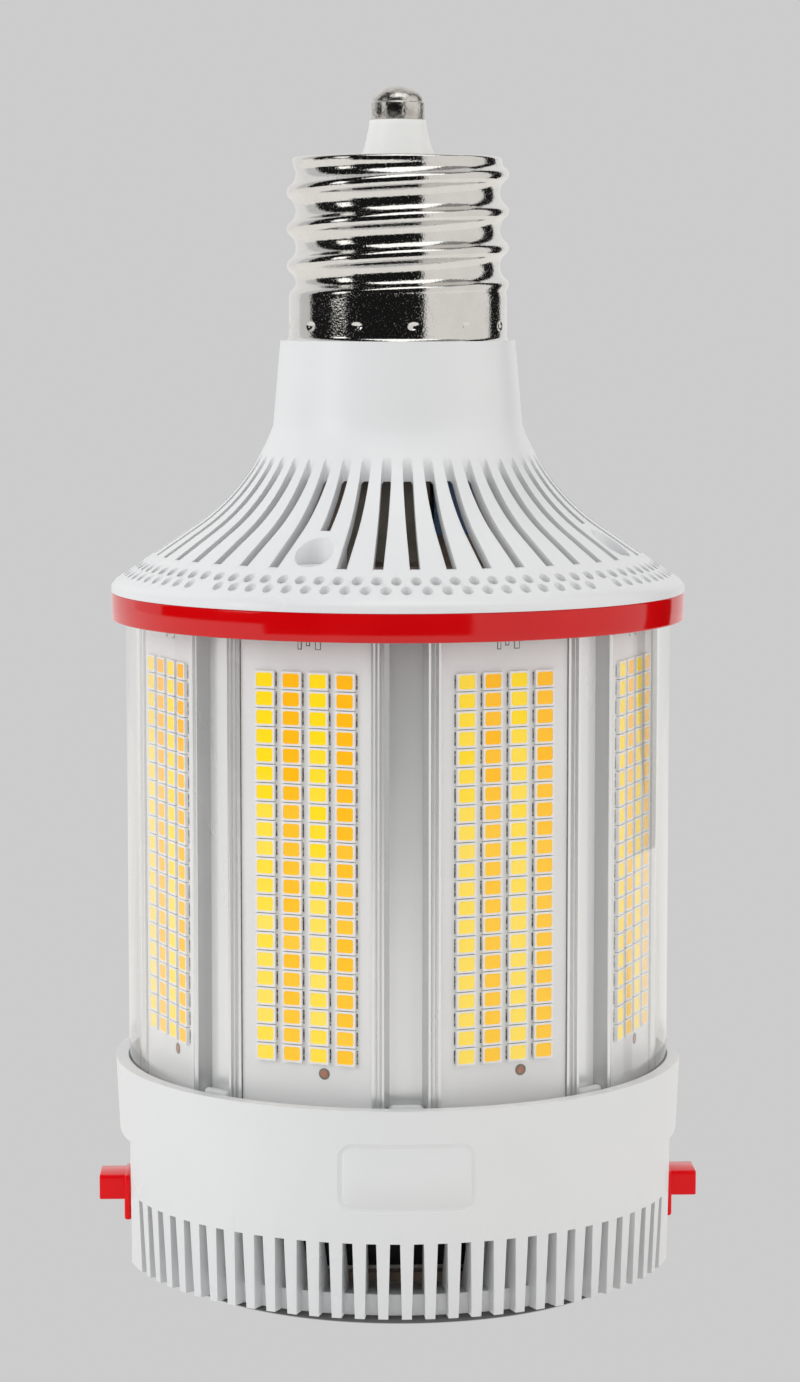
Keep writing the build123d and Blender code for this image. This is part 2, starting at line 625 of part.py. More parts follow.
def slider():
    """Selector on the +X panel: knob, flange that hangs over the slot and stem through it."""
    half_y = FLANGE_WIDTH / 2
    low = SLIDER_Z - FLANGE_DROP - FLANGE_HEIGHT / 2
    flange = block((FLANGE_X, KNOB_X), (-half_y, half_y), (low, low + FLANGE_HEIGHT))
    flange = chamfer(flange.faces().sort_by(Axis.X)[-1].edges(), FLANGE_EDGE)
    knob = block((KNOB_X - FLANGE_EDGE, KNOB_X + KNOB_REACH), (-KNOB_WIDTH / 2, KNOB_WIDTH / 2),
                 (SLIDER_Z - KNOB_HEIGHT / 2, SLIDER_Z + KNOB_HEIGHT / 2))
    knob = chamfer(knob.faces().sort_by(Axis.X)[-1].edges(), KNOB_EDGE)
    stem = block((STEM_X, FLANGE_X), (-STEM_WIDTH / 2, STEM_WIDTH / 2),
                 (SLIDER_Z - STEM_HEIGHT / 2, SLIDER_Z + STEM_HEIGHT / 2))
    return flange + knob + stem


def switch_lever():
    low = SWITCH_X - SWITCH_DEPTH + SWITCH_WALL + SLIDER_FIT
    half_z = STEM_HEIGHT / 2 - SLIDER_FIT
    return block((low, STEM_X), (-STEM_WIDTH / 2, STEM_WIDTH / 2), (SLIDER_Z - half_z, SLIDER_Z + half_z))


def switch_body():
    half_y = SWITCH_WIDTH / 2
    half_z = SWITCH_HEIGHT / 2
    slot_y = STEM_WIDTH / 2 + SLIDER_TRAVEL + SLIDER_FIT
    slot_z = STEM_HEIGHT / 2
    body = block((SWITCH_BOARD_X, SWITCH_X), (-half_y, half_y), (SLIDER_Z - half_z, SLIDER_Z + half_z))
    return body - block((SWITCH_BOARD_X + SWITCH_WALL, SWITCH_X), (-slot_y, slot_y),
                        (SLIDER_Z - slot_z, SLIDER_Z + slot_z))


def switch_board():
    half = SWITCH_BOARD_WIDTH / 2
    return block((SWITCH_BOARD_X - DRIVER_BOARD_THICK, SWITCH_BOARD_X), (-half, half),
                 (Z_FLOOR, Z_FLOOR + SWITCH_BOARD_HEIGHT))


def fan_ring(half, low, high):
    """Square plate with cut corners and the fan's round opening."""
    cut = sqrt(2) * (FAN_HALF - FAN_HOLE_INSET) - FAN_BOSS_HALF - FAN_BOARD_GAP
    plate = block((-half, half), (-half, half), (low, high))
    plate &= Rot(0, 0, 45) * block((-cut, cut), (-cut, cut), (low, high))
    return plate - rod(FAN_BORE_R, low, high)


def fan_board():
    return fan_ring(FAN_HALF + FAN_BOARD_LIP, Z_FLOOR, Z_GASKET)


def fan_gasket():
    return fan_ring(FAN_HALF, Z_GASKET, Z_FAN)


def fan_frame():
    """Frame with its hub plate on four struts and the bearing that carries the rotor's spindle."""
    half = FAN_HALF
    body = block((-half, half), (-half, half), (Z_FAN, Z_FAN_TOP))
    body = chamfer(body.edges().filter_by(Axis.Z), FAN_CORNER) - rod(FAN_BORE_R, Z_FAN, Z_FAN_TOP)
    plate_top = Z_FAN + HUB_PLATE
    strut = block((-STRUT_WIDTH / 2, STRUT_WIDTH / 2), (-half + FAN_CORNER / 2, -ROTOR_R / 2),
                  (Z_FAN, plate_top))
    body += around(strut, quarter_turns(0, STRUTS))
    body += rod(ROTOR_R, Z_FAN, plate_top)
    body += rod(SPINDLE_R + SCREW_FIT + BEARING_WALL, plate_top, plate_top + BEARING_HEIGHT)
    body -= rod(SPINDLE_R + SCREW_FIT, plate_top, plate_top + BEARING_HEIGHT)
    return body - [screw_hole(FAN_HOLE_R, Z_FAN, Z_FAN_TOP, x, y) for x, y in fan_corners()]


def fan_rotor():
    """Cup-shaped hub on its spindle, with tilted blades as long as the bore allows."""
    low = Z_FAN + HUB_PLATE + ROTOR_GAP
    high = Z_FAN_TOP - ROTOR_TOP_GAP
    chord = (high - low) / sin(radians(BLADE_TILT)) - 2 * BLADE_THICK
    swept = chord * cos(radians(BLADE_TILT)) + BLADE_THICK
    tip_y = sqrt((FAN_BORE_R - FAN_TIP_GAP) ** 2 - (swept / 2) ** 2)
    blade = block((-chord / 2, chord / 2), (-tip_y, 0), (-BLADE_THICK / 2, BLADE_THICK / 2))
    blade = Pos(0, 0, (low + high) / 2) * Rot(0, BLADE_TILT, 0) * blade
    wheel = rod(ROTOR_R, low, high) + around(blade, quarter_turns(0, FAN_BLADES))
    wheel -= rod(ROTOR_R - ROTOR_WALL, low, high - ROTOR_WALL)
    return wheel + rod(SPINDLE_R, low, high)


def fan_screws():
    fastener = screw(FAN_SCREW_R, FAN_HEAD_R, Z_FAN_TOP, Z_FLOOR - FLOOR / 4)
    return [Pos(x, y, 0) * fastener for x, y in fan_corners()]


def driver_board():
    """Upright board: its neck slides up the collar's rails, its skirt hangs in the flare."""
    half = DRIVER_BOARD_THICK / 2
    neck = NECK_BORE - DRIVER_BOARD_FIT
    foot = Z_SINK_TOP + DRIVER_FOOT_GAP
    skirt = DRIVER_SKIRT_WIDTH / 2
    board = block((-neck, neck), (-half, half), (foot, Z_ROOF))
    return board + block((-skirt, skirt), (-half, half), (foot, foot + DRIVER_SKIRT_HEIGHT))


def on_board(size, x, z, front=True):
    """Block component standing on the driver board's front or back."""
    width, depth, height = size
    face = DRIVER_BOARD_THICK / 2
    reach = (-face - depth, -face) if front else (face, face + depth)
    return block((x - width / 2, x + width / 2), reach, (z - height / 2, z + height / 2))


def can_on_board(radius, length, x, z):
    """Round component standing on the back of the driver board."""
    middle = DRIVER_BOARD_THICK / 2 + length / 2
    return Pos(x, middle, z) * Rot(90, 0, 0) * Cylinder(radius, length)


def transformer():
    return on_board(TRANSFORMER_SIZE, TRANSFORMER_X, Z_COLLAR - FILM_CAP_GAP - TRANSFORMER_SIZE[2] / 2)


def film_capacitor():
    x = TRANSFORMER_X + TRANSFORMER_SIZE[0] / 2 + FILM_CAP_GAP + FILM_CAP_SIZE[0] / 2
    return on_board(FILM_CAP_SIZE, x, Z_COLLAR - FILM_CAP_GAP - FILM_CAP_SIZE[2] / 2)


def bulk_capacitors():
    z = (Z_COLLAR + Z_ROOF) / 2
    return [can_on_board(BULK_CAP_R, BULK_CAP_LENGTH, x, z) for x in (-BULK_CAP_SPREAD, BULK_CAP_SPREAD)]


def choke():
    return can_on_board(CHOKE_R, CHOKE_LENGTH, 0, Z_COLLAR - FILM_CAP_GAP - CHOKE_R)


def rectifier():
    return on_board(RECTIFIER_SIZE, 0, (Z_COLLAR + Z_ROOF) / 2)


def write(name, shape):
    """Writes one node, a list as separate solids in one file."""
    if isinstance(shape, list):
        shape = Compound(children=shape)
    export_step(shape, "parts/" + name + ".step")


os.makedirs("parts", exist_ok=True)

for piece in (center_contact, base_insulator, screw_shell, driver_housing, screw_plugs, housing_screws,
              trim_ring, lens_tube, heat_sink, vent_cup, cup_screws, fan_board, fan_gasket, fan_frame,
              fan_rotor, fan_screws, driver_board, transformer, film_capacitor, bulk_capacitors, choke,
              rectifier):
    write(piece.__name__, piece())

for number, angle in enumerate(FACES, start=1):
    write(f"led_board_{number}", Rot(0, 0, angle) * led_board())
    write(f"led_array_{number}", [Rot(0, 0, angle) * package for package in led_array()])

for setting, turn in (("power", 0), ("colour", 180)):
    write(setting + "_slider", Rot(0, 0, turn) * slider())
    write(setting + "_switch_lever", Rot(0, 0, turn) * switch_lever())
    write(setting + "_switch_body", Rot(0, 0, turn) * switch_body())
    write(setting + "_switch_board", Rot(0, 0, turn) * switch_board())
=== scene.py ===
import bpy
from math import atan2, cos, exp, pi, radians, sin, tan
from mathutils import Matrix, Vector


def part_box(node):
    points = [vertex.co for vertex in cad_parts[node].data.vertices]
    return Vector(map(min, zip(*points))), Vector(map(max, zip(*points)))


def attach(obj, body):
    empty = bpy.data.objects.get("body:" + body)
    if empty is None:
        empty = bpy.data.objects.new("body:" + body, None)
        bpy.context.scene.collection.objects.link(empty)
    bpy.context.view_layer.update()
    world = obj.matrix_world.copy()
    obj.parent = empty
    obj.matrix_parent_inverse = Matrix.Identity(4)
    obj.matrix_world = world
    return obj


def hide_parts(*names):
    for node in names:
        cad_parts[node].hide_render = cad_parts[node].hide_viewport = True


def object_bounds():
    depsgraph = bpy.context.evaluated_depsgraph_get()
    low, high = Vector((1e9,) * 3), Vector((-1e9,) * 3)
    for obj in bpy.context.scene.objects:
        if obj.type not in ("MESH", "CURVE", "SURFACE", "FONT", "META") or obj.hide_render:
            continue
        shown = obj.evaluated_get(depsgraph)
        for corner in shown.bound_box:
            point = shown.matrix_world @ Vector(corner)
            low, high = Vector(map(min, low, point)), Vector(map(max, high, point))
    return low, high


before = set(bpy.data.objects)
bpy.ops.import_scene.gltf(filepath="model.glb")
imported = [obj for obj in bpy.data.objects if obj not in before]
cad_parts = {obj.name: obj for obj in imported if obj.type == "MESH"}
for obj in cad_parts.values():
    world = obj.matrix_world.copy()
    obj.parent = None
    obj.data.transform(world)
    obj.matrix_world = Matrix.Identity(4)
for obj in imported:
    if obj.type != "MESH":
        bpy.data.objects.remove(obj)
cad_box = [list(corner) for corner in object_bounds()]

# Heat sink: an eight-sided aluminium extrusion with ribs beside each board and a channel at each corner.
# It is drawn through a die, so its marks run along the lamp's axis. The tube stands round it.
mm = 0.001


def start_finish(name):
    """New node material with its shader and the object's own coordinates."""
    material = bpy.data.materials.new(name)
    material.use_nodes = True
    tree = material.node_tree
    place = tree.nodes.new("ShaderNodeTexCoord").outputs["Object"]
    return material, tree, tree.nodes["Principled BSDF"], place


def grain(tree, place, cells, detail=2.0, stretch=(1, 1, 1)):
    """Noise with so many cells per metre, drawn out along the axes whose stretch is small."""
    mapping = tree.nodes.new("ShaderNodeMapping")
    mapping.inputs["Scale"].default_value = [cells * share for share in stretch]
    noise = tree.nodes.new("ShaderNodeTexNoise")
    noise.inputs["Scale"].default_value = 1.0
    noise.inputs["Detail"].default_value = detail
    tree.links.new(place, mapping.inputs["Vector"])
    tree.links.new(mapping.outputs["Vector"], noise.inputs["Vector"])
    return noise.outputs["Fac"]


def spread(tree, factor, low, high, start=0.3, end=0.7):
    """Turns a factor into a value between low and high."""
    span = tree.nodes.new("ShaderNodeMapRange")
    for socket, value in zip(("From Min", "From Max", "To Min", "To Max"), (start, end, low, high)):
        span.inputs[socket].default_value = value
    tree.links.new(factor, span.inputs["Value"])
    return span.outputs["Result"]


def tint(tree, factor, first, second, start=0.3, end=0.7):
    """Turns a factor into a colour between two."""
    ramp = tree.nodes.new("ShaderNodeValToRGB")
    for element, position, colour in zip(ramp.color_ramp.elements, (start, end), (first, second)):
        element.position = position
        element.color = (*colour, 1)
    tree.links.new(factor, ramp.inputs["Fac"])
    return ramp.outputs["Color"]


def relief(tree, shader, factor, depth):
    """Fine unevenness of a surface, depth in metres."""
    bump = tree.nodes.new("ShaderNodeBump")
    bump.inputs["Strength"].default_value = 0.5
    bump.inputs["Distance"].default_value = depth
    tree.links.new(factor, bump.inputs["Height"])
    tree.links.new(bump.outputs["Normal"], shader.inputs["Normal"])


def operate(tree, kind, operation, *values):
    """Math or vector node. Each value is a constant or the output of another node."""
    step = tree.nodes.new(kind)
    step.operation = operation
    for socket, value in zip(step.inputs, values):
        if isinstance(value, bpy.types.NodeSocket):
            tree.links.new(value, socket)
        else:
            socket.default_value = value
    return step.outputs


def add(tree, first, second, share):
    """First factor plus a share of the second."""
    return operate(tree, "ShaderNodeMath", "MULTIPLY_ADD", second, share, first)["Value"]


def outward(tree, place):
    """How squarely a face looks away from the lamp's axis: 0 on a channel's walls, which get painted shade.
    """
    level = operate(tree, "ShaderNodeVectorMath", "MULTIPLY", place, (1, 1, 0))["Vector"]
    unit = operate(tree, "ShaderNodeVectorMath", "NORMALIZE", level)["Vector"]
    normal = tree.nodes.new("ShaderNodeNewGeometry").outputs["Normal"]
    return operate(tree, "ShaderNodeVectorMath", "DOT_PRODUCT", unit, normal)["Value"]


def drawn_aluminium():
    """Streaked by the die along the axis, with painted shade on the walls of its channels."""
    material, tree, shader, place = start_finish("drawn_aluminium")
    streaks = grain(tree, place, 900, 3, (1, 1, 0.006))
    clouds = grain(tree, place, 60, 2, (1, 1, 0.3))
    # Painted shade: faces turned sideways, as the walls of the channels are, get a darker colour.
    tone = add(tree, spread(tree, outward(tree, place), 0.0, 0.7, 0.2, 0.85), streaks, 0.3)
    colour = tint(tree, tone, (0.50, 0.505, 0.51), (0.93, 0.935, 0.94), 0.0, 0.9)
    tree.links.new(colour, shader.inputs["Base Color"])
    tree.links.new(spread(tree, clouds, 0.18, 0.28), shader.inputs["Roughness"])
    relief(tree, shader, streaks, 0.03 * mm)
    shader.inputs["Metallic"].default_value = 0.55
    return material


def dress(node, material):
    """Gives a CAD node its finish."""
    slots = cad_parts[node].data.materials
    slots.clear()
    slots.append(material)


dress("heat_sink", drawn_aluminium())

# LED boards: eight white lacquered aluminium boards, one on each face of the heat sink, held between its
# ribs. Each has a bare copper dot below its packages and the ends of its solder pads just below the ring.
sides = 8
side_angle = 360 / sides
face_angles = [radians(side_angle / 2 + side_angle * k) for k in range(sides)]
board_face = 43.62 * mm
foil = 0.05 * mm
dot_x = 3.2 * mm
dot_z = 40.6 * mm
dot_r = 0.62 * mm
dot_rim_r = 1.0 * mm
pad_top = 115 * mm
pad_line = 0.16 * mm
narrow_pad = 0.75 * mm
wide_pad = 1.05 * mm
pad_foot = 112.6 * mm
short_pad_foot = 113.2 * mm


def mottled(name, cells, detail, dark, light, rough, texture=None, metallic=0.0, tone=(0.3, 0.7)):
    """Finish whose tone and gloss drift with one noise. Texture: cells, detail and depth of a relief."""
    material, tree, shader, place = start_finish(name)
    mottle = grain(tree, place, cells, detail)
    tree.links.new(tint(tree, mottle, dark, light, *tone), shader.inputs["Base Color"])
    tree.links.new(spread(tree, mottle, *rough), shader.inputs["Roughness"])
    if texture:
        relief_cells, relief_detail, depth = texture
        relief(tree, shader, grain(tree, place, relief_cells, relief_detail), depth)
    shader.inputs["Metallic"].default_value = metallic
    return material


def only(piece):
    """Selects one piece alone and makes it active."""
    bpy.ops.object.select_all(action="DESELECT")
    piece.select_set(True)
    bpy.context.view_layer.objects.active = piece


def name_piece(name):
    """Names the piece that was just added, and its mesh."""
    piece = bpy.context.object
    piece.name = name
    piece.data.name = name
    return piece


def copy_turned(piece, angle, name):
    """Copy with its own mesh, turned about the lamp's axis."""
    copy = piece.copy()
    copy.data = piece.data.copy()
    copy.data.transform(Matrix.Rotation(angle, 4, "Z"))
    copy.name = name
    copy.data.name = name
    bpy.context.scene.collection.objects.link(copy)
    return copy


def join(pieces, name):
    """Joins pieces to one mesh."""
    only(pieces[0])
    for piece in pieces:
        piece.select_set(True)
    bpy.ops.object.join()
    return name_piece(name)


def all_round(piece, angles, name):
    """Joined copies of a front-facing piece at these angles. The piece itself is used up."""
    copies = [copy_turned(piece, angle, f"{name}_{k}") for k, angle in enumerate(angles)]
    bpy.data.objects.remove(piece)
    return join(copies, name)


def block(name, low, high):
    """Box between two corners."""
    low, high = Vector(low), Vector(high)
    bpy.ops.object.select_all(action="DESELECT")
    bpy.ops.mesh.primitive_cube_add(size=1, location=(low + high) / 2)
    bpy.context.object.scale = high - low
    bpy.ops.object.transform_apply(location=True, rotation=True, scale=True)
    return name_piece(name)


def soften(piece, width, segments=2, angle=40):
    """Rounds the sharp edges with a bevel and shades the rest smooth."""
    only(piece)
    bevel = piece.modifiers.new("edges", "BEVEL")
    bevel.width = width
    bevel.segments = segments
    bevel.limit_method = "ANGLE"
    bevel.angle_limit = radians(angle)
    bpy.ops.object.modifier_apply(modifier=bevel.name)
    bpy.ops.object.shade_smooth_by_angle(angle=radians(angle))
    return piece


def carry(piece, material, body, slot, *nodes):
    """Gives a finished piece its finish and its body, and hides the nodes it stands for. The slot is not
    used.
    """
    if material is not None:
        piece.data.materials.clear()
        piece.data.materials.append(material)
    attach(piece, body)
    if nodes:
        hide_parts(*nodes)
    return piece


def disc(name, radius, rise):
    """Thin round foil on the front of a board."""
    bpy.ops.object.select_all(action="DESELECT")
    bpy.ops.mesh.primitive_cylinder_add(vertices=24, radius=radius, depth=rise, rotation=(pi / 2, 0, 0),
                                        location=(dot_x, -board_face - rise / 2, dot_z))
    bpy.ops.object.transform_apply(location=True, rotation=True, scale=True)
    return soften(name_piece(name), foil / 3, segments=1)


lacquer = mottled("white_lacquer", 70, 3, (0.84, 0.84, 0.845), (0.88, 0.88, 0.88), (0.30, 0.42),
                  (1400, 2, 0.01 * mm))
tarnish = mottled("tarnish", 1800, 3, (0.17, 0.15, 0.12), (0.27, 0.24, 0.19), (0.35, 0.55))
bare_copper = mottled("bare_copper", 1500, 3, (0.42, 0.17, 0.11), (0.56, 0.22, 0.14), (0.35, 0.55))
tinned_pad = mottled("tinned_pad", 2500, 3, (0.02, 0.016, 0.013), (0.32, 0.27, 0.24), (0.3, 0.6))
for k in range(1, sides + 1):
    dress(f"led_board_{k}", lacquer)

dot_rims = all_round(disc("dot_rim", dot_rim_r, foil), face_angles, "dot_rims")
carry(dot_rims, tarnish, "lamp", "led_board")
copper_dots = all_round(disc("dot", dot_r, 2 * foil), face_angles, "copper_dots")
carry(copper_dots, bare_copper, "lamp", "led_board")

pads = []
pad_faces = []
for middle, width, low_z in ((-1.05 * mm, narrow_pad, pad_foot), (0.45 * mm, narrow_pad, short_pad_foot),
                             (2.25 * mm, wide_pad, pad_foot)):
    low_x = middle - width / 2
    high_x = middle + width / 2
    pads.append(block("pad", (low_x, -board_face - foil, low_z), (high_x, -board_face, pad_top)))
    pad_faces.append(block("pad_face", (low_x + pad_line, -board_face - 2 * foil, low_z + pad_line),
                           (high_x - pad_line, -board_face, pad_top - pad_line)))
pad_row = soften(join(pads, "pad_row"), foil / 3, segments=1)
carry(all_round(pad_row, face_angles, "solder_pads"), tinned_pad, "lamp", "led_board")
face_row = soften(join(pad_faces, "face_row"), foil / 3, segments=1)
carry(all_round(face_row, face_angles, "solder_pad_faces"), lacquer, "lamp", "led_board")

# LED packages: four columns of white moulded packages soldered to each board. Each has a phosphor window,
# lemon in one column and orange in the next, and a dark speckled strip at its two ends: solder, darkened
# as painted shade. The phosphor is given a faint painted glow.
led_width = 3.6 * mm
led_height = 3.0 * mm
led_thick = 0.7 * mm
led_border = 0.33 * mm
led_recess = 0.08 * mm
led_corner = 0.38 * mm
solder_shade_width = 0.24 * mm
solder_shade_half = 1.15 * mm
led_pitch = 4.85 * mm
led_row_pitch = 3.18 * mm
led_rows = 21
led_columns = 4
led_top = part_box("led_array_1")[1].z - 1.4 * mm
painted_light_rows = (66 * mm, 98 * mm)
pale_side = (-4 * mm, 8 * mm)


def phosphor(name, pale, deep):
    """Phosphor gel, its tone differing per package and paler to the right. Paler lower rows and its glow are
    painted light.
    """
    material, tree, shader, place = start_finish(name)
    island = tree.nodes.new("ShaderNodeNewGeometry").outputs["Random Per Island"]
    axes = tree.nodes.new("ShaderNodeSeparateXYZ")
    tree.links.new(place, axes.inputs["Vector"])
    mottle = grain(tree, place, 500, 2)
    # Painted light: the lower rows are made paler.
    lower = spread(tree, axes.outputs["Z"], 0.5, 0.0, *painted_light_rows)
    right = spread(tree, axes.outputs["X"], 0.0, 1.0, *pale_side)
    tone = add(tree, lower, right, 0.3)
    tone = add(tree, tone, island, 0.35)
    tone = add(tree, tone, mottle, 0.2)
    colour = tint(tree, tone, deep, pale, 0.35, 0.95)
    tree.links.new(colour, shader.inputs["Base Color"])
    # Painted glow: the phosphor gives off a little light in its own colour.
    tree.links.new(colour, shader.inputs["Emission Color"])
    shader.inputs["Emission Strength"].default_value = 0.22
    shader.inputs["Specular IOR Level"].default_value = 0.05
    tree.links.new(spread(tree, mottle, 0.30, 0.45), shader.inputs["Roughness"])
    return material


# The dark speckled finish is solder darkened as painted shade.
led_finishes = [mottled("package_white", 900, 2, (0.90, 0.89, 0.87), (0.94, 0.93, 0.91), (0.4, 0.5)),
                mottled("speckled_solder_and_shade", 2600, 3, (0.03, 0.02, 0.018), (0.62, 0.57, 0.54), (0.3, 0.6),
                        tone=(0.45, 0.66)),
                phosphor("lemon_phosphor", (0.98, 0.73, 0.115), (0.98, 0.69, 0.004)),
                phosphor("orange_phosphor", (0.98, 0.57, 0.045), (0.98, 0.47, 0.001))]
body_finish, solder_and_shade_finish, lemon_finish, orange_finish = range(len(led_finishes))


def finished_block(low, high, finish):
    """Box with all finishes of a package, in one of them."""
    piece = block("package", low, high)
    for led_finish in led_finishes:
        piece.data.materials.append(led_finish)
    for face in piece.data.polygons:
        face.material_index = finish
    return piece


def led_column():
    """One column of packages at the front: round-cornered window set in, solder and painted shade at both
    ends.
    """
    half = led_width / 2
    package = finished_block((-half, -board_face - led_thick, led_top - led_height / 2),
                             (half, -board_face, led_top + led_height / 2), body_finish)
    only(package)
    bpy.ops.object.mode_set(mode="EDIT")
    bpy.ops.mesh.select_mode(type="FACE")
    bpy.ops.mesh.select_all(action="DESELECT")
    bpy.ops.object.mode_set(mode="OBJECT")
    for face in package.data.polygons:
        face.select = face.normal.y < -0.5
    bpy.ops.object.mode_set(mode="EDIT")
    bpy.ops.mesh.inset(thickness=led_border)
    bpy.ops.mesh.bevel(offset=led_corner, segments=3, affect="VERTICES")
    bpy.ops.mesh.select_all(action="DESELECT")
    bpy.ops.object.mode_set(mode="OBJECT")
    front_faces = [face for face in package.data.polygons if face.normal.y < -0.5]
    window = max(front_faces, key=lambda face: face.area)
    window.material_index = lemon_finish
    window.select = True
    bpy.ops.object.mode_set(mode="EDIT")
    bpy.ops.mesh.extrude_region_move(TRANSFORM_OT_translate={"value": (0, led_recess, 0)})
    bpy.ops.object.mode_set(mode="OBJECT")
    # Strips at both ends: solder, made dark as painted shade along the package's ends.
    solder = [finished_block((start, -board_face - foil, led_top - solder_shade_half),
                             (start + solder_shade_width, -board_face, led_top + solder_shade_half), solder_and_shade_finish)
              for start in (-half - solder_shade_width, half)]
    package = join([package, *solder], "package")
    rows = package.modifiers.new("rows", "ARRAY")
    rows.count = led_rows
    rows.use_relative_offset = False
    rows.use_constant_offset = True
    rows.constant_offset_displace = (0, 0, -led_row_pitch)
    bpy.ops.object.modifier_apply(modifier=rows.name)
    return package


column = led_column()
columns = []
for k in range(led_columns):
    copy = copy_turned(column, 0, f"column_{k}")
    copy.data.transform(Matrix.Translation(((k - (led_columns - 1) / 2) * led_pitch, 0, 0)))
    if k % 2:
        for face in copy.data.polygons:
            if face.material_index == lemon_finish:
                face.material_index = orange_finish
    columns.append(copy)
bpy.data.objects.remove(column)
front_array = join(columns, "front_array")
for k, angle in enumerate(face_angles, start=1):
    array = copy_turned(front_array, angle, f"led_packages_{k}")
    carry(array, None, "lamp", "led", f"led_array_{k}")
bpy.data.objects.remove(front_array)

# Clear tube: an extruded polycarbonate sleeve between the cup's ledge and the housing, its cut ends eased.
# It lets the light through and mirrors the studio most where it is seen at a flat angle.
tube_low, tube_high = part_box("lens_tube")
tube_r = tube_high.x
tube_wall = 1.8 * mm
mirror_growth = 3.5
mirror_gain = 0.9
mirror_least = 0.012


def turn(name, section, steps):
    """Spins a closed (radius, height) section about the lamp's axis."""
    weld = 0.001 * mm
    bpy.ops.object.select_all(action="DESELECT")
    bpy.ops.mesh.primitive_circle_add(vertices=len(section))
    piece = name_piece(name)
    for vertex, (radius, height) in zip(piece.data.vertices, section):
        vertex.co = (radius, 0, height)
    bpy.ops.object.mode_set(mode="EDIT")
    bpy.ops.mesh.select_all(action="SELECT")
    bpy.ops.mesh.spin(steps=steps, angle=2 * pi, center=(0, 0, 0), axis=(0, 0, 1))
    bpy.ops.mesh.select_all(action="SELECT")
    bpy.ops.mesh.remove_doubles(threshold=weld)
    bpy.ops.mesh.dissolve_degenerate(threshold=weld)
    bpy.ops.mesh.select_all(action="SELECT")
    bpy.ops.mesh.normals_make_consistent(inside=False)
    bpy.ops.object.mode_set(mode="OBJECT")
    return piece


def layer(tree, kind, colour):
    """Shader node of a kind in one colour."""
    shader = tree.nodes.new(kind)
    shader.inputs["Color"].default_value = (*colour, 1)
    return shader


def blend(tree, factor, first, second):
    """Mix of two shader nodes, all second where the factor is 1."""
    mix = tree.nodes.new("ShaderNodeMixShader")
    tree.links.new(factor, mix.inputs["Fac"])
    tree.links.new(first.outputs[0], mix.inputs[1])
    tree.links.new(second.outputs[0], mix.inputs[2])
    return mix


def clear_plastic():
    """Clear film with a mirror that grows at flat angles, as on any clear plastic. Shadow rays pass it."""
    material, tree, shader, place = start_finish("clear_plastic")
    tree.nodes.remove(shader)
    clear = layer(tree, "ShaderNodeBsdfTransparent", (0.998, 0.999, 0.999))
    gloss = layer(tree, "ShaderNodeBsdfGlossy", (0.96, 0.96, 0.955))
    tree.links.new(spread(tree, grain(tree, place, 40, 2), 0.02, 0.06), gloss.inputs["Roughness"])
    facing = tree.nodes.new("ShaderNodeLayerWeight")
    facing.inputs["Blend"].default_value = 0.5
    flat = operate(tree, "ShaderNodeMath", "POWER", facing.outputs["Facing"], mirror_growth)["Value"]
    mirror = operate(tree, "ShaderNodeMath", "MULTIPLY_ADD", flat, mirror_gain, mirror_least)["Value"]
    shadow_ray = tree.nodes.new("ShaderNodeLightPath").outputs["Is Shadow Ray"]
    seen = operate(tree, "ShaderNodeMath", "SUBTRACT", 1.0, shadow_ray)["Value"]
    share = operate(tree, "ShaderNodeMath", "MULTIPLY", mirror, seen)["Value"]
    surface = blend(tree, share, clear, gloss)
    tree.links.new(surface.outputs["Shader"], tree.nodes["Material Output"].inputs["Surface"])
    return material


tube = turn("clear_tube", [(tube_r - tube_wall, tube_low.z), (tube_r, tube_low.z), (tube_r, tube_high.z),
                           (tube_r - tube_wall, tube_high.z)], steps=180)
carry(soften(tube, 0.2 * mm), clear_plastic(), "lamp", "clear", "lens_tube")

# Fan: a bought black fan on a brown board, with a light foam gasket between them, screwed to the floor of
# the cup. Only its edge shows between the fins.


def moulded(name, dark, light, cells=400, rough=(0.4, 0.55)):
    """Moulded or printed matter with a fine grain."""
    return mottled(name, cells, 3, dark, light, rough, (cells, 3, 0.03 * mm))


black_plastic = moulded("black_plastic", (0.018, 0.018, 0.019), (0.034, 0.034, 0.035))
brown_laminate = moulded("brown_laminate", (0.52, 0.40, 0.31), (0.66, 0.52, 0.41))
light_foam = moulded("light_foam", (0.82, 0.81, 0.78), (0.90, 0.89, 0.86), 900, (0.7, 0.85))
zinc = mottled("zinc_plate", 700, 3, (0.45, 0.45, 0.46), (0.62, 0.62, 0.62), (0.25, 0.4), metallic=1.0)
for name, finish in (("fan_frame", black_plastic), ("fan_rotor", black_plastic),
                     ("fan_board", brown_laminate), ("fan_gasket", light_foam), ("fan_screws", zinc)):
    dress(name, finish)

# Vent cup: one white moulding that closes the foot. Its wall is cut into tapered fins that stand in front of
# a sill, eight tabs reach up into the channels of the heat sink, and a flat panel on each side carries a
# selector. Screws through four posts hold it to the heat sink.
cup_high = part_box("vent_cup")[1]
cup_height = cup_high.z
cup_r = cup_high.x
cup_foot_r = 49.05 * mm
cup_edge = 0.12 * mm
seat_r = 48.6 * mm
ledge_z = tube_low.z
ledge_r = 42.0 * mm
ledge_thick = 2.0 * mm
under_ledge_r = 47.5 * mm
gusset_r = 46.88 * mm
sill_r = 46.5 * mm
sill_height = 3.6 * mm
floor_z = 2.1 * mm
floor_under = 0.5 * mm
floor_bite = 0.8 * mm
vent_height = 13.1 * mm
vent_pitch = radians(4.65)
vents_per_side = 30
vent_top_width = 1.7 * mm
vent_foot_width = 2.3 * mm
cut_past = 1.0 * mm
cut_out = 3.0 * mm
panel_x = 47.8 * mm
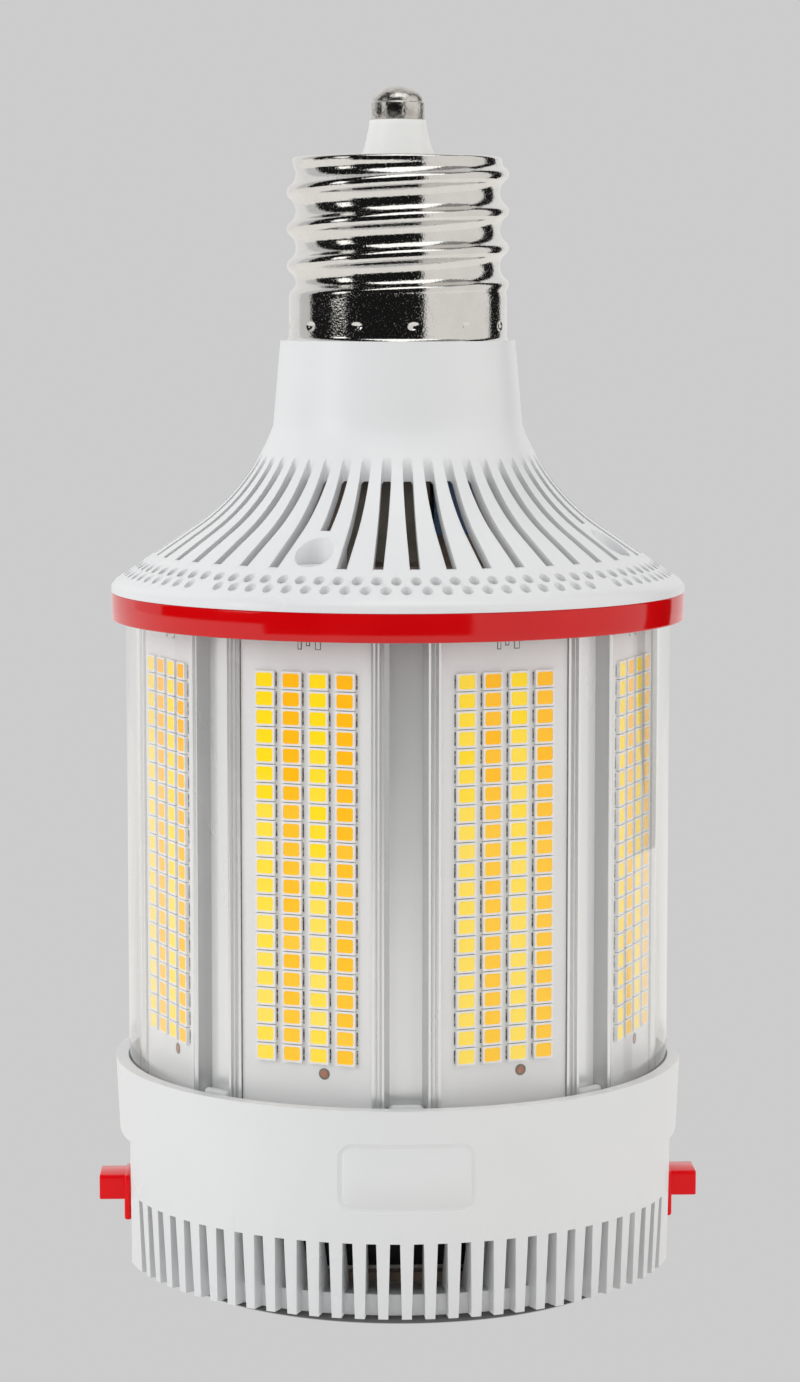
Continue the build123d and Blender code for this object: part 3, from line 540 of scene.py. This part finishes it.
panel_top = 22.9 * mm
panel_wall = 2.0 * mm
panel_half = 10.0 * mm
panel_spare = 0.5 * mm
slider_z = 11.85 * mm
slot_half_y = 3.0 * mm
slot_half_z = 1.8 * mm
slot_span = (40 * mm, 60 * mm)
band_half_width = 11.2 * mm
band_half_height = 5.4 * mm
band_z = 24.4 * mm
band_corner = 2.0 * mm
band_rod_r = 0.8 * mm
band_rod_out = 0.55 * mm
bolt_r = 39.62 * mm
post_half = 3.5 * mm
post_gap = 0.02 * mm
head_half = 2.75 * mm
head_top = 2.7 * mm
grille_half = 1.8 * mm
grille_span = (12.5 * mm, 27 * mm)
grille_slots = 12
tab_half = 3.0 * mm
tab_back = 44.2 * mm
tab_thick = 1.7 * mm
tab_top = cup_height - 0.1 * mm


def combine(piece, other, operation):
    """Boolean of two solids. The second one is used up."""
    only(piece)
    boolean = piece.modifiers.new("combine", "BOOLEAN")
    boolean.operation = operation
    boolean.solver = "EXACT"
    boolean.object = other
    bpy.ops.object.modifier_apply(modifier=boolean.name)
    bpy.data.objects.remove(other)
    return piece


def cut(piece, cutter):
    return combine(piece, cutter, "DIFFERENCE")


def unite(piece, other):
    return combine(piece, other, "UNION")


def face_outwards(piece):
    """Turns all faces of a closed piece outwards."""
    only(piece)
    bpy.ops.object.mode_set(mode="EDIT")
    bpy.ops.mesh.select_all(action="SELECT")
    bpy.ops.mesh.normals_make_consistent(inside=False)
    bpy.ops.object.mode_set(mode="OBJECT")
    return piece


def plate(name, outline, thick):
    """Flat outline raised by a thickness along Z, at the origin."""
    bpy.ops.object.select_all(action="DESELECT")
    bpy.ops.mesh.primitive_circle_add(vertices=len(outline), fill_type="NGON")
    piece = name_piece(name)
    for vertex, (x, y) in zip(piece.data.vertices, outline):
        vertex.co = (x, y, 0)
    bpy.ops.object.mode_set(mode="EDIT")
    bpy.ops.mesh.select_all(action="SELECT")
    bpy.ops.mesh.extrude_region_move(TRANSFORM_OT_translate={"value": (0, 0, thick)})
    bpy.ops.object.mode_set(mode="OBJECT")
    return face_outwards(piece)


def vent_cutter():
    """Gap between two fins at the front: through the wall above the sill, as deep as the sill below it."""
    reach = cup_r + cut_out
    inner = ledge_r - 2 * cut_past
    outline = [(sill_r, -cut_past), (reach, -cut_past), (reach, vent_height), (inner, vent_height),
               (inner, sill_height), (sill_r, sill_height)]
    cutter = plate("vent", outline, 1.0)
    for vertex in cutter.data.vertices:
        radius, height, side = vertex.co
        width = vent_foot_width + (vent_top_width - vent_foot_width) * height / vent_height
        vertex.co = ((side - 0.5) * width, -radius, height)
    cutter.data.update()
    return face_outwards(cutter)


def band_cutter():
    """Round rod along a plain rounded frame, laid so that it presses a shallow band into the front."""
    corner_steps = 6
    edge_steps = 8
    straight_x = band_half_width - band_corner
    straight_z = band_half_height - band_corner
    outline = []
    for side_x, side_z, first in ((1, 1, 0), (-1, 1, 90), (-1, -1, 180), (1, -1, 270)):
        for step in range(corner_steps + 1):
            angle = radians(first + 90 * step / corner_steps)
            outline.append((side_x * straight_x + band_corner * cos(angle),
                            side_z * straight_z + band_corner * sin(angle)))
        if first in (0, 180):
            outline += [(side_x * straight_x * (1 - k / edge_steps), side_z * band_half_height)
                        for k in range(1, 2 * edge_steps)]
    bpy.ops.object.select_all(action="DESELECT")
    bpy.ops.mesh.primitive_circle_add(vertices=len(outline))
    band = name_piece("band")
    for vertex, (x, up) in zip(band.data.vertices, outline):
        height = band_z + up
        radius = cup_foot_r + (cup_r - cup_foot_r) * height / cup_height + band_rod_out
        vertex.co = (x, -(radius * radius - x * x) ** 0.5, height)
    bpy.ops.object.convert(target="CURVE")
    bpy.context.object.data.bevel_depth = band_rod_r
    bpy.context.object.data.bevel_resolution = 2
    bpy.ops.object.convert(target="MESH")
    return bpy.context.object


def cup_section():
    """Wall, rim, ledge, gusset, sill and floor of the cup."""
    steps = 6
    wall = [(cup_foot_r + (cup_r - cup_foot_r) * k / steps, cup_height * k / steps)
            for k in range(steps + 1)]
    under_ledge = ledge_z - ledge_thick
    return [(0, floor_under), (sill_r, floor_under), (sill_r, 0), *wall, (seat_r, cup_height),
            (seat_r, ledge_z), (ledge_r, ledge_z), (ledge_r, under_ledge), (under_ledge_r, under_ledge),
            (gusset_r, vent_height), (ledge_r, sill_height), (ledge_r, floor_z), (0, floor_z)]


both_sides = (0, pi)
cup = turn("vent_cup_body", cup_section(), steps=360)
pad = block("pad", (panel_x - panel_wall, -panel_half, floor_z - floor_bite),
            (panel_x + panel_spare, panel_half, ledge_z - cut_past))
cup = unite(cup, all_round(pad, both_sides, "pads"))
panel = block("panel", (panel_x, -cup_r / 2, -cut_past), (cup_r + cut_out, cup_r / 2, panel_top))
cup = cut(cup, all_round(panel, both_sides, "panels"))
vent_angles = [side + (k - (vents_per_side - 1) / 2) * vent_pitch
               for side in both_sides for k in range(vents_per_side)]
cup = cut(cup, all_round(vent_cutter(), vent_angles, "vents"))
cup = cut(cup, band_cutter())
slot = block("slot", (slot_span[0], -slot_half_y, slider_z - slot_half_z),
             (slot_span[1], slot_half_y, slider_z + slot_half_z))
cup = cut(cup, all_round(slot, both_sides, "slots"))
post_angles = face_angles[::2]
post = block("post", (-post_half, -bolt_r - post_half, floor_z - floor_bite),
             (post_half, -bolt_r + post_half, ledge_z - post_gap))
cup = unite(cup, all_round(post, post_angles, "posts"))
head = block("head", (-head_half, -bolt_r - head_half, 0), (head_half, -bolt_r + head_half, head_top))
heads = all_round(head, post_angles, "heads")
grille = block("grille", (-grille_half, -grille_span[1], 0),
               (grille_half, -grille_span[0], floor_z + cut_past))
grilles = all_round(grille, [2 * pi * k / grille_slots for k in range(grille_slots)], "grilles")
cup = soften(cut(cup, join([heads, grilles], "foot_cuts")), cup_edge)

tab = block("tab", (-tab_half, -tab_back - tab_thick, ledge_z - cut_past), (tab_half, -tab_back, tab_top))
corner_angles = [radians(side_angle * k) for k in range(sides)]
tabs = soften(all_round(tab, corner_angles, "tabs"), 0.8 * mm, segments=4)
white = mottled("white_moulding", 25, 3, (0.79, 0.80, 0.81), (0.83, 0.835, 0.84), (0.26, 0.36),
                (2200, 2, 0.006 * mm))
carry(join([cup, tabs], "vent_cup_shell"), white, "lamp", "white_housing", "vent_cup")
for name in ("cup_screws", "housing_screws"):
    dress(name, zinc)

# Selectors: two glossy red knobs, each with a flat flange that slides on its panel and a stem through the
# slot. Behind each sits its switch with a lever and a board.
slider_low, slider_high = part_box("power_slider")
flange_x = panel_x + 0.3 * mm
knob_x = flange_x + 1.3 * mm
knob_bite = 1.0 * mm
knob_half_y = 3.7 * mm
knob_half_z = 2.25 * mm
stem_half_y = 1.2 * mm
stem_half_z = 1.5 * mm


def glossy_red(name, deep, light, specular):
    """Red plastic out of a polished mould."""
    material = mottled(name, 60, 2, deep, light, (0.07, 0.12), (900, 2, 0.003 * mm))
    material.node_tree.nodes["Principled BSDF"].inputs["Specular IOR Level"].default_value = specular
    return material


flange = soften(block("flange", (flange_x, slider_low.y, slider_low.z),
                      (knob_x, slider_high.y, slider_high.z)), 0.5 * mm, segments=3)
knob = soften(block("knob", (knob_x - knob_bite, -knob_half_y, slider_z - knob_half_z),
                    (slider_high.x, knob_half_y, slider_z + knob_half_z)), 0.3 * mm, segments=3)
stem = soften(block("stem", (slider_low.x, -stem_half_y, slider_z - stem_half_z),
                    (knob_x, stem_half_y, slider_z + stem_half_z)), 0.2 * mm)
selector = join([flange, knob, stem], "selector")
knob_red = glossy_red("knob_red", (0.82, 0.002, 0.006), (0.88, 0.004, 0.010), 0.2)
for setting, angle in (("power", 0), ("colour", pi)):
    copy = copy_turned(selector, angle, f"{setting}_selector")
    carry(copy, knob_red, f"{setting}_slider", "red", f"{setting}_slider")
    dress(f"{setting}_switch_lever", black_plastic)
    dress(f"{setting}_switch_body", zinc)
    dress(f"{setting}_switch_board", brown_laminate)
bpy.data.objects.remove(selector)

# Driver: an upright brown board in the neck with a wound transformer, a choke, capacitors and a rectifier.
# The slots of the housing let it be seen in part.
blue_dip = moulded("blue_dip", (0.10, 0.20, 0.40), (0.16, 0.28, 0.50), 200, (0.2, 0.35))
varnished_winding = moulded("varnished_winding", (0.24, 0.215, 0.18), (0.36, 0.325, 0.28), 300)
black_sleeve = moulded("black_sleeve", (0.015, 0.015, 0.018), (0.03, 0.03, 0.034), 200, (0.25, 0.4))
for name, finish in (("driver_board", brown_laminate), ("transformer", varnished_winding),
                     ("choke", varnished_winding), ("film_capacitor", blue_dip),
                     ("bulk_capacitors", black_sleeve), ("rectifier", black_sleeve)):
    dress(name, finish)

# Driver housing: one white moulding, neck, flare and rim, with cooling slots all round, two rows of small
# holes above the rim and four screw pockets closed by white plugs. It stands on the heat sink and carries
# the screw base.
housing_low, housing_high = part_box("driver_housing")
rim_r = min(housing_high.x, housing_high.y)
rim_z = housing_low.z + 0.5 * mm
rim_edge = 1.1 * mm
cone_slope = radians(34)
flare_slope = radians(70)
flare_r = 36.0 * mm
cone_foot = (50.2 * mm, 121.5 * mm)
neck_foot = (22.11 * mm, 148.74 * mm)
neck_top = (20.8 * mm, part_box("screw_shell")[0].z)
neck_roof = 2.3 * mm
collar_r = 21.0 * mm
collar_z = 140.44 * mm
spigot_r = 18.67 * mm
spigot_bore = 16.67 * mm
spigot_height = 8 * mm
shoulder_r = 46.4 * mm
wall = 2.0 * mm
slots = 44
slot_width = 1.75 * mm
slot_ease = 0.3 * mm
slot_top_r = 24.4 * mm
slot_foot_r = 43.2 * mm
slot_stop = 1.6 * mm
pocket_turn = radians(-22.5)
pocket_r = 3.3 * mm
pocket_span = (122 * mm, 140 * mm)
hole_r = 0.94 * mm
hole_top = 130 * mm
upper_row = (45.8 * mm, 122.0 * mm)
lower_row = (47.9 * mm, 121.5 * mm)
bare_place = 16
boss_half = 4.4 * mm
boss_top = 125 * mm
boss_under = 0.7 * mm


def flare_point(slope, depth=0.0):
    """Point of the flare's arc with this slope, or below it by a wall."""
    centre = (neck_foot[0] + flare_r * sin(flare_slope), neck_foot[1] + flare_r * cos(flare_slope))
    reach = flare_r + depth
    return (centre[0] - reach * sin(slope), centre[1] - reach * cos(slope))


def run(start, end, steps):
    """Points between two, both ends left out."""
    return [(start[0] + (end[0] - start[0]) * k / steps, start[1] + (end[1] - start[1]) * k / steps)
            for k in range(1, steps)]


def housing_section():
    """Rim, cone, flare, neck and spigot outside, collar and an even wall inside."""
    arc_steps = 18
    slopes = [cone_slope + (flare_slope - cone_slope) * k / arc_steps for k in range(arc_steps + 1)]
    flare = [flare_point(slope) for slope in slopes]
    inner = [flare_point(slope, wall) for slope in reversed(slopes[:-3:2])]
    shoulder_z = cone_foot[1] + (cone_foot[0] - shoulder_r) * tan(cone_slope) - wall / cos(cone_slope)
    spigot_z = neck_top[1] + spigot_height
    roof_z = neck_top[1] - neck_roof
    collar_bore = collar_r - wall
    outer = [(seat_r, rim_z), (rim_r, rim_z), (rim_r, rim_z + rim_edge), cone_foot,
             *run(cone_foot, flare[0], 10), *flare, *run(flare[-1], neck_top, 6), neck_top]
    inside = [(spigot_r, neck_top[1]), (spigot_r, spigot_z), (spigot_bore, spigot_z), (spigot_bore, roof_z),
              (collar_bore, roof_z), (collar_bore, collar_z), (collar_r, collar_z),
              (collar_r, neck_foot[1] - wall), *inner, (shoulder_r, shoulder_z), (shoulder_r, tube_high.z),
              (seat_r, tube_high.z)]
    return outer + inside


def slot_cutter(foot_r):
    """Upright cutter of one slot at the front, its inner corners eased."""
    half = slot_width / 2
    inner_end = [(half, -slot_top_r - slot_ease), (half - slot_ease, -slot_top_r),
                 (slot_ease - half, -slot_top_r), (-half, -slot_top_r - slot_ease)]
    cutter = plate("slot", [(-half, -foot_r), (half, -foot_r), *inner_end], neck_foot[1] - tube_high.z)
    cutter.data.transform(Matrix.Translation((0, 0, tube_high.z)))
    return cutter


def upright_hole(radius, distance, low, high, facets):
    """Cutter of a round hole at the front."""
    bpy.ops.object.select_all(action="DESELECT")
    bpy.ops.mesh.primitive_cylinder_add(vertices=facets, radius=radius, depth=high - low,
                                        location=(0, -distance, (low + high) / 2))
    bpy.ops.object.transform_apply(location=True, rotation=True, scale=True)
    return name_piece("hole")


housing = turn("housing_body", housing_section(), steps=264)
slot_angles = [pocket_turn + 2 * pi * k / slots for k in range(slots)]
quarter = slots // 4
long_slots = [angle for k, angle in enumerate(slot_angles) if k % quarter]
short_slots = slot_angles[::quarter]
short_foot_r = bolt_r - pocket_r - slot_stop
hole_pitch = pi / slots
bare_every = slots // 2
upper_holes = [pocket_turn + hole_pitch * k for k in range(2 * slots)]
lower_holes = [pocket_turn + hole_pitch * (k + 0.5) for k in range(2 * slots)
               if k % bare_every != bare_place]
cutters = [all_round(slot_cutter(slot_foot_r), long_slots, "long_slots"),
           all_round(slot_cutter(short_foot_r), short_slots, "short_slots"),
           all_round(upright_hole(pocket_r, bolt_r, *pocket_span, facets=48), short_slots, "pockets"),
           all_round(upright_hole(hole_r, *upper_row, hole_top, facets=14), upper_holes, "upper_holes"),
           all_round(upright_hole(hole_r, *lower_row, hole_top, facets=14), lower_holes, "lower_holes")]
boss = block("boss", (-boss_half, -bolt_r - boss_half, housing_low.z),
             (boss_half, -bolt_r + boss_half, boss_top))
for vertex in boss.data.vertices:
    if vertex.co.z > boss_top - cut_past:
        vertex.co.z = cone_foot[1] + (cone_foot[0] + vertex.co.y) * tan(cone_slope) - boss_under
housing = unite(housing, all_round(boss, short_slots, "bosses"))
housing = soften(cut(housing, join(cutters, "housing_cuts")), cup_edge)
carry(housing, white, "lamp", "white_housing", "driver_housing")
dress("screw_plugs", white)

# Trim ring: a glossy red moulded band, pushed over the tube up against the rim of the housing. It hides the
# joint between the two.
ring_low, ring_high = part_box("trim_ring")
ring_r = ring_high.y
ring_red = glossy_red("ring_red", (0.62, 0.0, 0.001), (0.68, 0.001, 0.003), 0.5)
ring = turn("red_ring", [(seat_r, ring_low.z), (ring_r, ring_low.z), (ring_r, ring_high.z),
                         (seat_r, ring_high.z)], steps=240)
carry(soften(ring, 0.3 * mm, segments=3), ring_red, "lamp", "red", "trim_ring")

# Screw shell: thin nickel plated sheet with a rolled right-hand thread, crimped to the neck by a row of
# punched dimples. Its crown is turned in over the disc of the insulator.
shell_low, shell_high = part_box("screw_shell")
crest_r = shell_high.x
thread_depth = 1.6 * mm
crest_curve = 1.286 * mm
root_curve = 2.76 * mm
skirt_r = 19.27 * mm
thread_pitch = 6.45 * mm
crest_z = 192.86 * mm
thread_low = 171.2 * mm
thread_start = 2.6 * mm
crown_r = 18.4 * mm
crown_share = 0.75
crown_top = shell_high.z - 0.5 * mm
crown_round = 0.6 * mm
crown_mouth_r = 6.6 * mm
thread_high = crown_top - crown_round
run_out = (193.4 * mm, 195.0 * mm)
shell_wall = 0.5 * mm
thread_bore = 17.0 * mm
skirt_bore = 18.7 * mm
crown_bend = 1.0 * mm
skirt_bend = 1.5 * mm
lip_height = 0.7 * mm
lip_reach = 0.4 * mm
dimples = 12
dimple_z = 166.2 * mm
dimple_r = 0.6 * mm
dimple_depth = 0.38 * mm
dimple_turn = radians(6.3)


def nickel_plate():
    """Bright plating with fine dull specks."""
    material, tree, shader, place = start_finish("nickel_plate")
    clouds = grain(tree, place, 220, 4)
    tree.links.new(tint(tree, clouds, (0.74, 0.725, 0.70), (0.80, 0.79, 0.77)), shader.inputs["Base Color"])
    specks = grain(tree, place, 3600, 2)
    tree.links.new(spread(tree, specks, 0.05, 0.40, 0.54, 0.74), shader.inputs["Roughness"])
    relief(tree, shader, grain(tree, place, 2600, 3), 0.04 * mm)
    shader.inputs["Metallic"].default_value = 1.0
    return material


def smooth_step(value, low, high):
    """Rises from 0 at low to 1 at high, level at both ends."""
    share = min(1.0, max(0.0, (value - low) / (high - low)))
    return share * share * (3 - 2 * share)


def rolled(angle, height):
    """Radius of the shell at an angle and a height: thread between a plain skirt and the crown."""
    turns = (height - crest_z) / thread_pitch - angle / (2 * pi)
    from_crest = abs(turns - round(turns)) * thread_pitch
    from_root = thread_pitch / 2 - from_crest
    if from_crest * root_curve < from_root * crest_curve:
        thread = crest_r - crest_curve + (crest_curve ** 2 - from_crest ** 2) ** 0.5
    else:
        thread = crest_r - thread_depth + root_curve - (root_curve ** 2 - from_root ** 2) ** 0.5
    below = smooth_step(height, thread_low, thread_low + thread_start)
    above = smooth_step(height, *run_out) * crown_share
    radius = skirt_r + (thread - skirt_r) * below
    lip = max(0.0, 1 - (height - shell_low.z) / lip_height) ** 2
    return radius + (crown_r - radius) * above + lip_reach * lip


def shell_section():
    """Skirt and thread as a plain run of rings, crown turned in, thin wall inside."""
    rings = 190
    outside = [(skirt_r, shell_low.z + (thread_high - shell_low.z) * k / rings) for k in range(rings + 1)]
    crown = [(crown_r - crown_round * (1 - cos(radians(bend))),
              thread_high + crown_round * sin(radians(bend))) for bend in range(15, 91, 15)]
    under_crown = crown_top - shell_wall
    inside = [(crown_mouth_r, crown_top), (crown_mouth_r, under_crown),
              (thread_bore - crown_bend, under_crown), (thread_bore, thread_high - crown_bend),
              (thread_bore, thread_low),
              (skirt_bore, thread_low - skirt_bend), (skirt_bore, shell_low.z)]
    return outside + crown + inside


def roll_thread(shell):
    """Presses the thread and the dimples into the plain shell."""
    spacing = 2 * pi / dimples
    for vertex in shell.data.vertices:
        x, y, z = vertex.co
        outside = (x * x + y * y) ** 0.5
        angle = atan2(y, x)
        near = (angle - dimple_turn + spacing / 2) % spacing - spacing / 2
        away = ((near * skirt_r) ** 2 + (z - dimple_z) ** 2) / dimple_r ** 2
        if z > thread_high and outside > crown_r - 1.1 * crown_round:
            radius = outside + rolled(angle, thread_high) - crown_r
        elif outside > skirt_r - 0.01 * mm:
            radius = rolled(angle, z) - dimple_depth * exp(-away * away)
        else:
            continue
        vertex.co = (radius * cos(angle), radius * sin(angle), z)
    shell.data.update()


shell = turn("screw_shell_rolled", shell_section(), steps=240)
roll_thread(shell)
only(shell)
bpy.ops.object.shade_smooth_by_angle(angle=radians(40))
carry(shell, nickel_plate(), "lamp", "nickel", "screw_shell")

# Insulator: a white moulded disc held in the crown of the shell, with a cone that rises out of its mouth. It
# keeps the contact apart from the shell.
contact_low, contact_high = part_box("center_contact")
cone_top_r = 5.0 * mm
cone_spread = 1.5 * mm
cone_curve = 1.5
cone_steps = 6
disc_r = 16.5 * mm
disc_low = crown_top - 3.5 * mm
disc_high = crown_top - 0.55 * mm
cone_side = [(cone_top_r + cone_spread * (1 - k / cone_steps) ** cone_curve,
              crown_top + (contact_low.z - crown_top) * k / cone_steps) for k in range(cone_steps + 1)]
insulator = turn("insulator_cone", [(0, disc_low), (disc_r, disc_low), (disc_r, disc_high),
                                    (cone_side[0][0], disc_high), *cone_side, (0, contact_low.z)], steps=96)
insulator_white = mottled("white_insulator", 120, 3, (0.89, 0.89, 0.875), (0.93, 0.93, 0.915), (0.3, 0.45))
carry(soften(insulator, 0.25 * mm), insulator_white, "lamp", "insulator", "base_insulator")

# Contact: a domed metal button that stands on the flat top of the cone. Its tinned surface is cloudy and a
# little uneven.
contact_r = contact_high.x
dome_r = contact_r - 0.25 * mm
dome_z = contact_low.z + 3.1 * mm
dome_rise = contact_high.z - dome_z
dome_steps = 14
step_z = dome_z - 0.1 * mm
dome_side = [(dome_r * cos(pi / 2 * k / dome_steps), dome_z + dome_rise * sin(pi / 2 * k / dome_steps))
             for k in range(dome_steps + 1)]
contact = turn("contact_button", [(0, contact_low.z), (contact_r, contact_low.z), (contact_r, step_z),
                                  *dome_side], steps=96)
tinned = mottled("tinned_contact", 420, 4, (0.50, 0.48, 0.45), (0.82, 0.80, 0.77), (0.15, 0.30),
                 (1500, 3, 0.25 * mm), metallic=1.0)
carry(soften(contact, 0.12 * mm), tinned, "lamp", "nickel", "center_contact")

# Stage: a pale paper floor under an even pale backdrop, which the world gives. The lamp stands on the floor,
# and a dark disc of painted shadow lies under it between its fins.
backdrop = (0.604, 0.604, 0.604)
floor_size = 4.0
floor_gap = 0.05 * mm
shade_middle = (0, -10.5 * mm, 0)
shade_edge = (40.3 * mm, 41.0 * mm)


def pale_floor():
    """Paper that mirrors see evenly lit. The camera sees a dark disc of painted shadow under the lamp, and
    sees the backdrop through it further out and from below."""
    material, tree, shader, place = start_finish("pale_floor")
    tree.nodes.remove(shader)
    paper = layer(tree, "ShaderNodeBsdfDiffuse", (0.86, 0.85, 0.84))
    # Painted shadow: dark paper that only the camera sees, in a disc under the front of the lamp.
    shade = layer(tree, "ShaderNodeBsdfDiffuse", (0.12, 0.12, 0.12))
    gleam = layer(tree, "ShaderNodeEmission", (0.88, 0.86, 0.83))
    gone = layer(tree, "ShaderNodeBsdfTransparent", (1, 1, 1))
    rays = tree.nodes.new("ShaderNodeLightPath").outputs
    mirrored = blend(tree, rays["Is Glossy Ray"], paper, gleam)
    seen = blend(tree, rays["Is Camera Ray"], mirrored, shade)
    away = operate(tree, "ShaderNodeVectorMath", "DISTANCE", place, shade_middle)["Value"]
    outside = spread(tree, away, 0.0, 1.0, *shade_edge)
    from_below = tree.nodes.new("ShaderNodeNewGeometry").outputs["Backfacing"]
    beyond = operate(tree, "ShaderNodeMath", "MAXIMUM", outside, from_below)["Value"]
    open_share = operate(tree, "ShaderNodeMath", "MULTIPLY", beyond, rays["Is Camera Ray"])["Value"]
    surface = blend(tree, open_share, seen, gone)
    tree.links.new(surface.outputs["Shader"], tree.nodes["Material Output"].inputs["Surface"])
    return material


bpy.ops.object.select_all(action="DESELECT")
bpy.ops.mesh.primitive_plane_add(size=floor_size, location=(0, 0, cad_box[0][2] - floor_gap))
floor = name_piece("floor")
floor.data.materials.append(pale_floor())

scene = bpy.context.scene
scene.view_settings.view_transform = "Standard"
world = bpy.data.worlds.new("studio")
scene.world = world
world.use_nodes = True
sky = world.node_tree.nodes["Background"]
sky.inputs["Color"].default_value = (*backdrop, 1)
sky.inputs["Strength"].default_value = 1.0

# Cards: panels round the lamp that show only as reflections, as in a studio. Dark ones stand in front, on
# the left and at the right rear, and a dim one hangs high on the right. Bright ones stand on the right,
# behind and above, and a narrow one on the left.
card_centre = 0.18
near = 0.55
far = 1.1
black = (0.010, 0.010, 0.010)
dim = (0.26, 0.255, 0.25)


def card(name, bearings, rises, colour, distance):
    """Panel on a sphere round the lamp, between two bearings from the front and two elevations."""
    steps = 24
    bpy.ops.object.select_all(action="DESELECT")
    bpy.ops.mesh.primitive_grid_add(x_subdivisions=steps, y_subdivisions=steps, size=2)
    piece = name_piece(name)
    for vertex in piece.data.vertices:
        bearing = radians(bearings[0] + (bearings[1] - bearings[0]) * (vertex.co.x + 1) / 2)
        rise = radians(rises[0] + (rises[1] - rises[0]) * (vertex.co.y + 1) / 2)
        vertex.co = (distance * cos(rise) * sin(bearing), -distance * cos(rise) * cos(bearing),
                     card_centre + distance * sin(rise))
    material, tree, shader, place = start_finish(name)
    tree.nodes.remove(shader)
    glow = layer(tree, "ShaderNodeEmission", colour)
    tree.links.new(glow.outputs["Emission"], tree.nodes["Material Output"].inputs["Surface"])
    piece.data.materials.append(material)
    piece.visible_camera = False
    piece.visible_diffuse = False
    piece.visible_shadow = False


card("front_card", (-53.5, 26), (-19, 45), black, near)
card("side_card", (-105, -53.5), (-9, 45), black, near + 0.03)
card("high_side_card", (-105, -50), (45, 88), black, far)
card("right_card", (26, 110), (-19, 45), (0.79, 0.775, 0.75), near)
card("high_right_card", (60, 110), (45, 88), dim, far)
card("edge_card", (110, 134), (-19, 50), black, near)
card("back_card", (134, 232), (-9, 60), (0.82, 0.82, 0.81), far)
card("left_card", (-73, -57), (0.3, 26), (1.4, 1.4, 1.35), near - 0.02)
card("top_card", (-50, 60), (45, 89), (1.4, 1.4, 1.37), far)

# Lights: square soft boxes on the left, on the right, overhead and in front. The left one is the strongest,
# and mirrors see the cards in their place.
aim = (0, 0, 0.1)


def soft_light(name, place, size, watts, colour=(1.0, 1.0, 1.0)):
    """Square soft box that faces the lamp."""
    bpy.ops.object.light_add(type="AREA", location=place)
    light = bpy.context.object
    light.name = name
    light.data.shape = "SQUARE"
    light.data.size = size
    light.data.energy = watts
    light.data.color = colour
    light.visible_glossy = False
    light.rotation_euler = (Vector(aim) - Vector(place)).to_track_quat("-Z", "Y").to_euler()


soft_light("left_box", (-1.2, -0.45, 0.6), 0.8, 5.8, (0.97, 0.985, 1.0))
soft_light("right_box", (1.2, -0.45, 0.5), 0.8, 3.05, (1.0, 0.985, 0.94))
soft_light("top_box", (0.0, -0.2, 1.3), 0.9, 2.5)
soft_light("front_box", (0.0, -1.3, 0.22), 0.5, 0.4)

# Camera: a long lens level with the screw shell and a little to the left, looking slightly down. Its place
# was fitted to the tube, the ring, the cup and the shell.
camera_distance = 641.9 * mm
camera_height = 171.1 * mm
camera_turn = radians(-1.8)
camera_pitch = radians(6.214)
camera_aside = 0.38 * mm
bpy.ops.object.camera_add()
camera = bpy.context.object
camera.data.sensor_width = 36
camera.data.lens = 93.99
camera.data.clip_start = 0.01
right = Vector((cos(camera_turn), sin(camera_turn), 0))
camera.location = Vector((camera_distance * sin(camera_turn), -camera_distance * cos(camera_turn),
                          camera_height))
camera.location += right * camera_aside
camera.rotation_euler = (pi / 2 - camera_pitch, 0, camera_turn)
scene.camera = camera
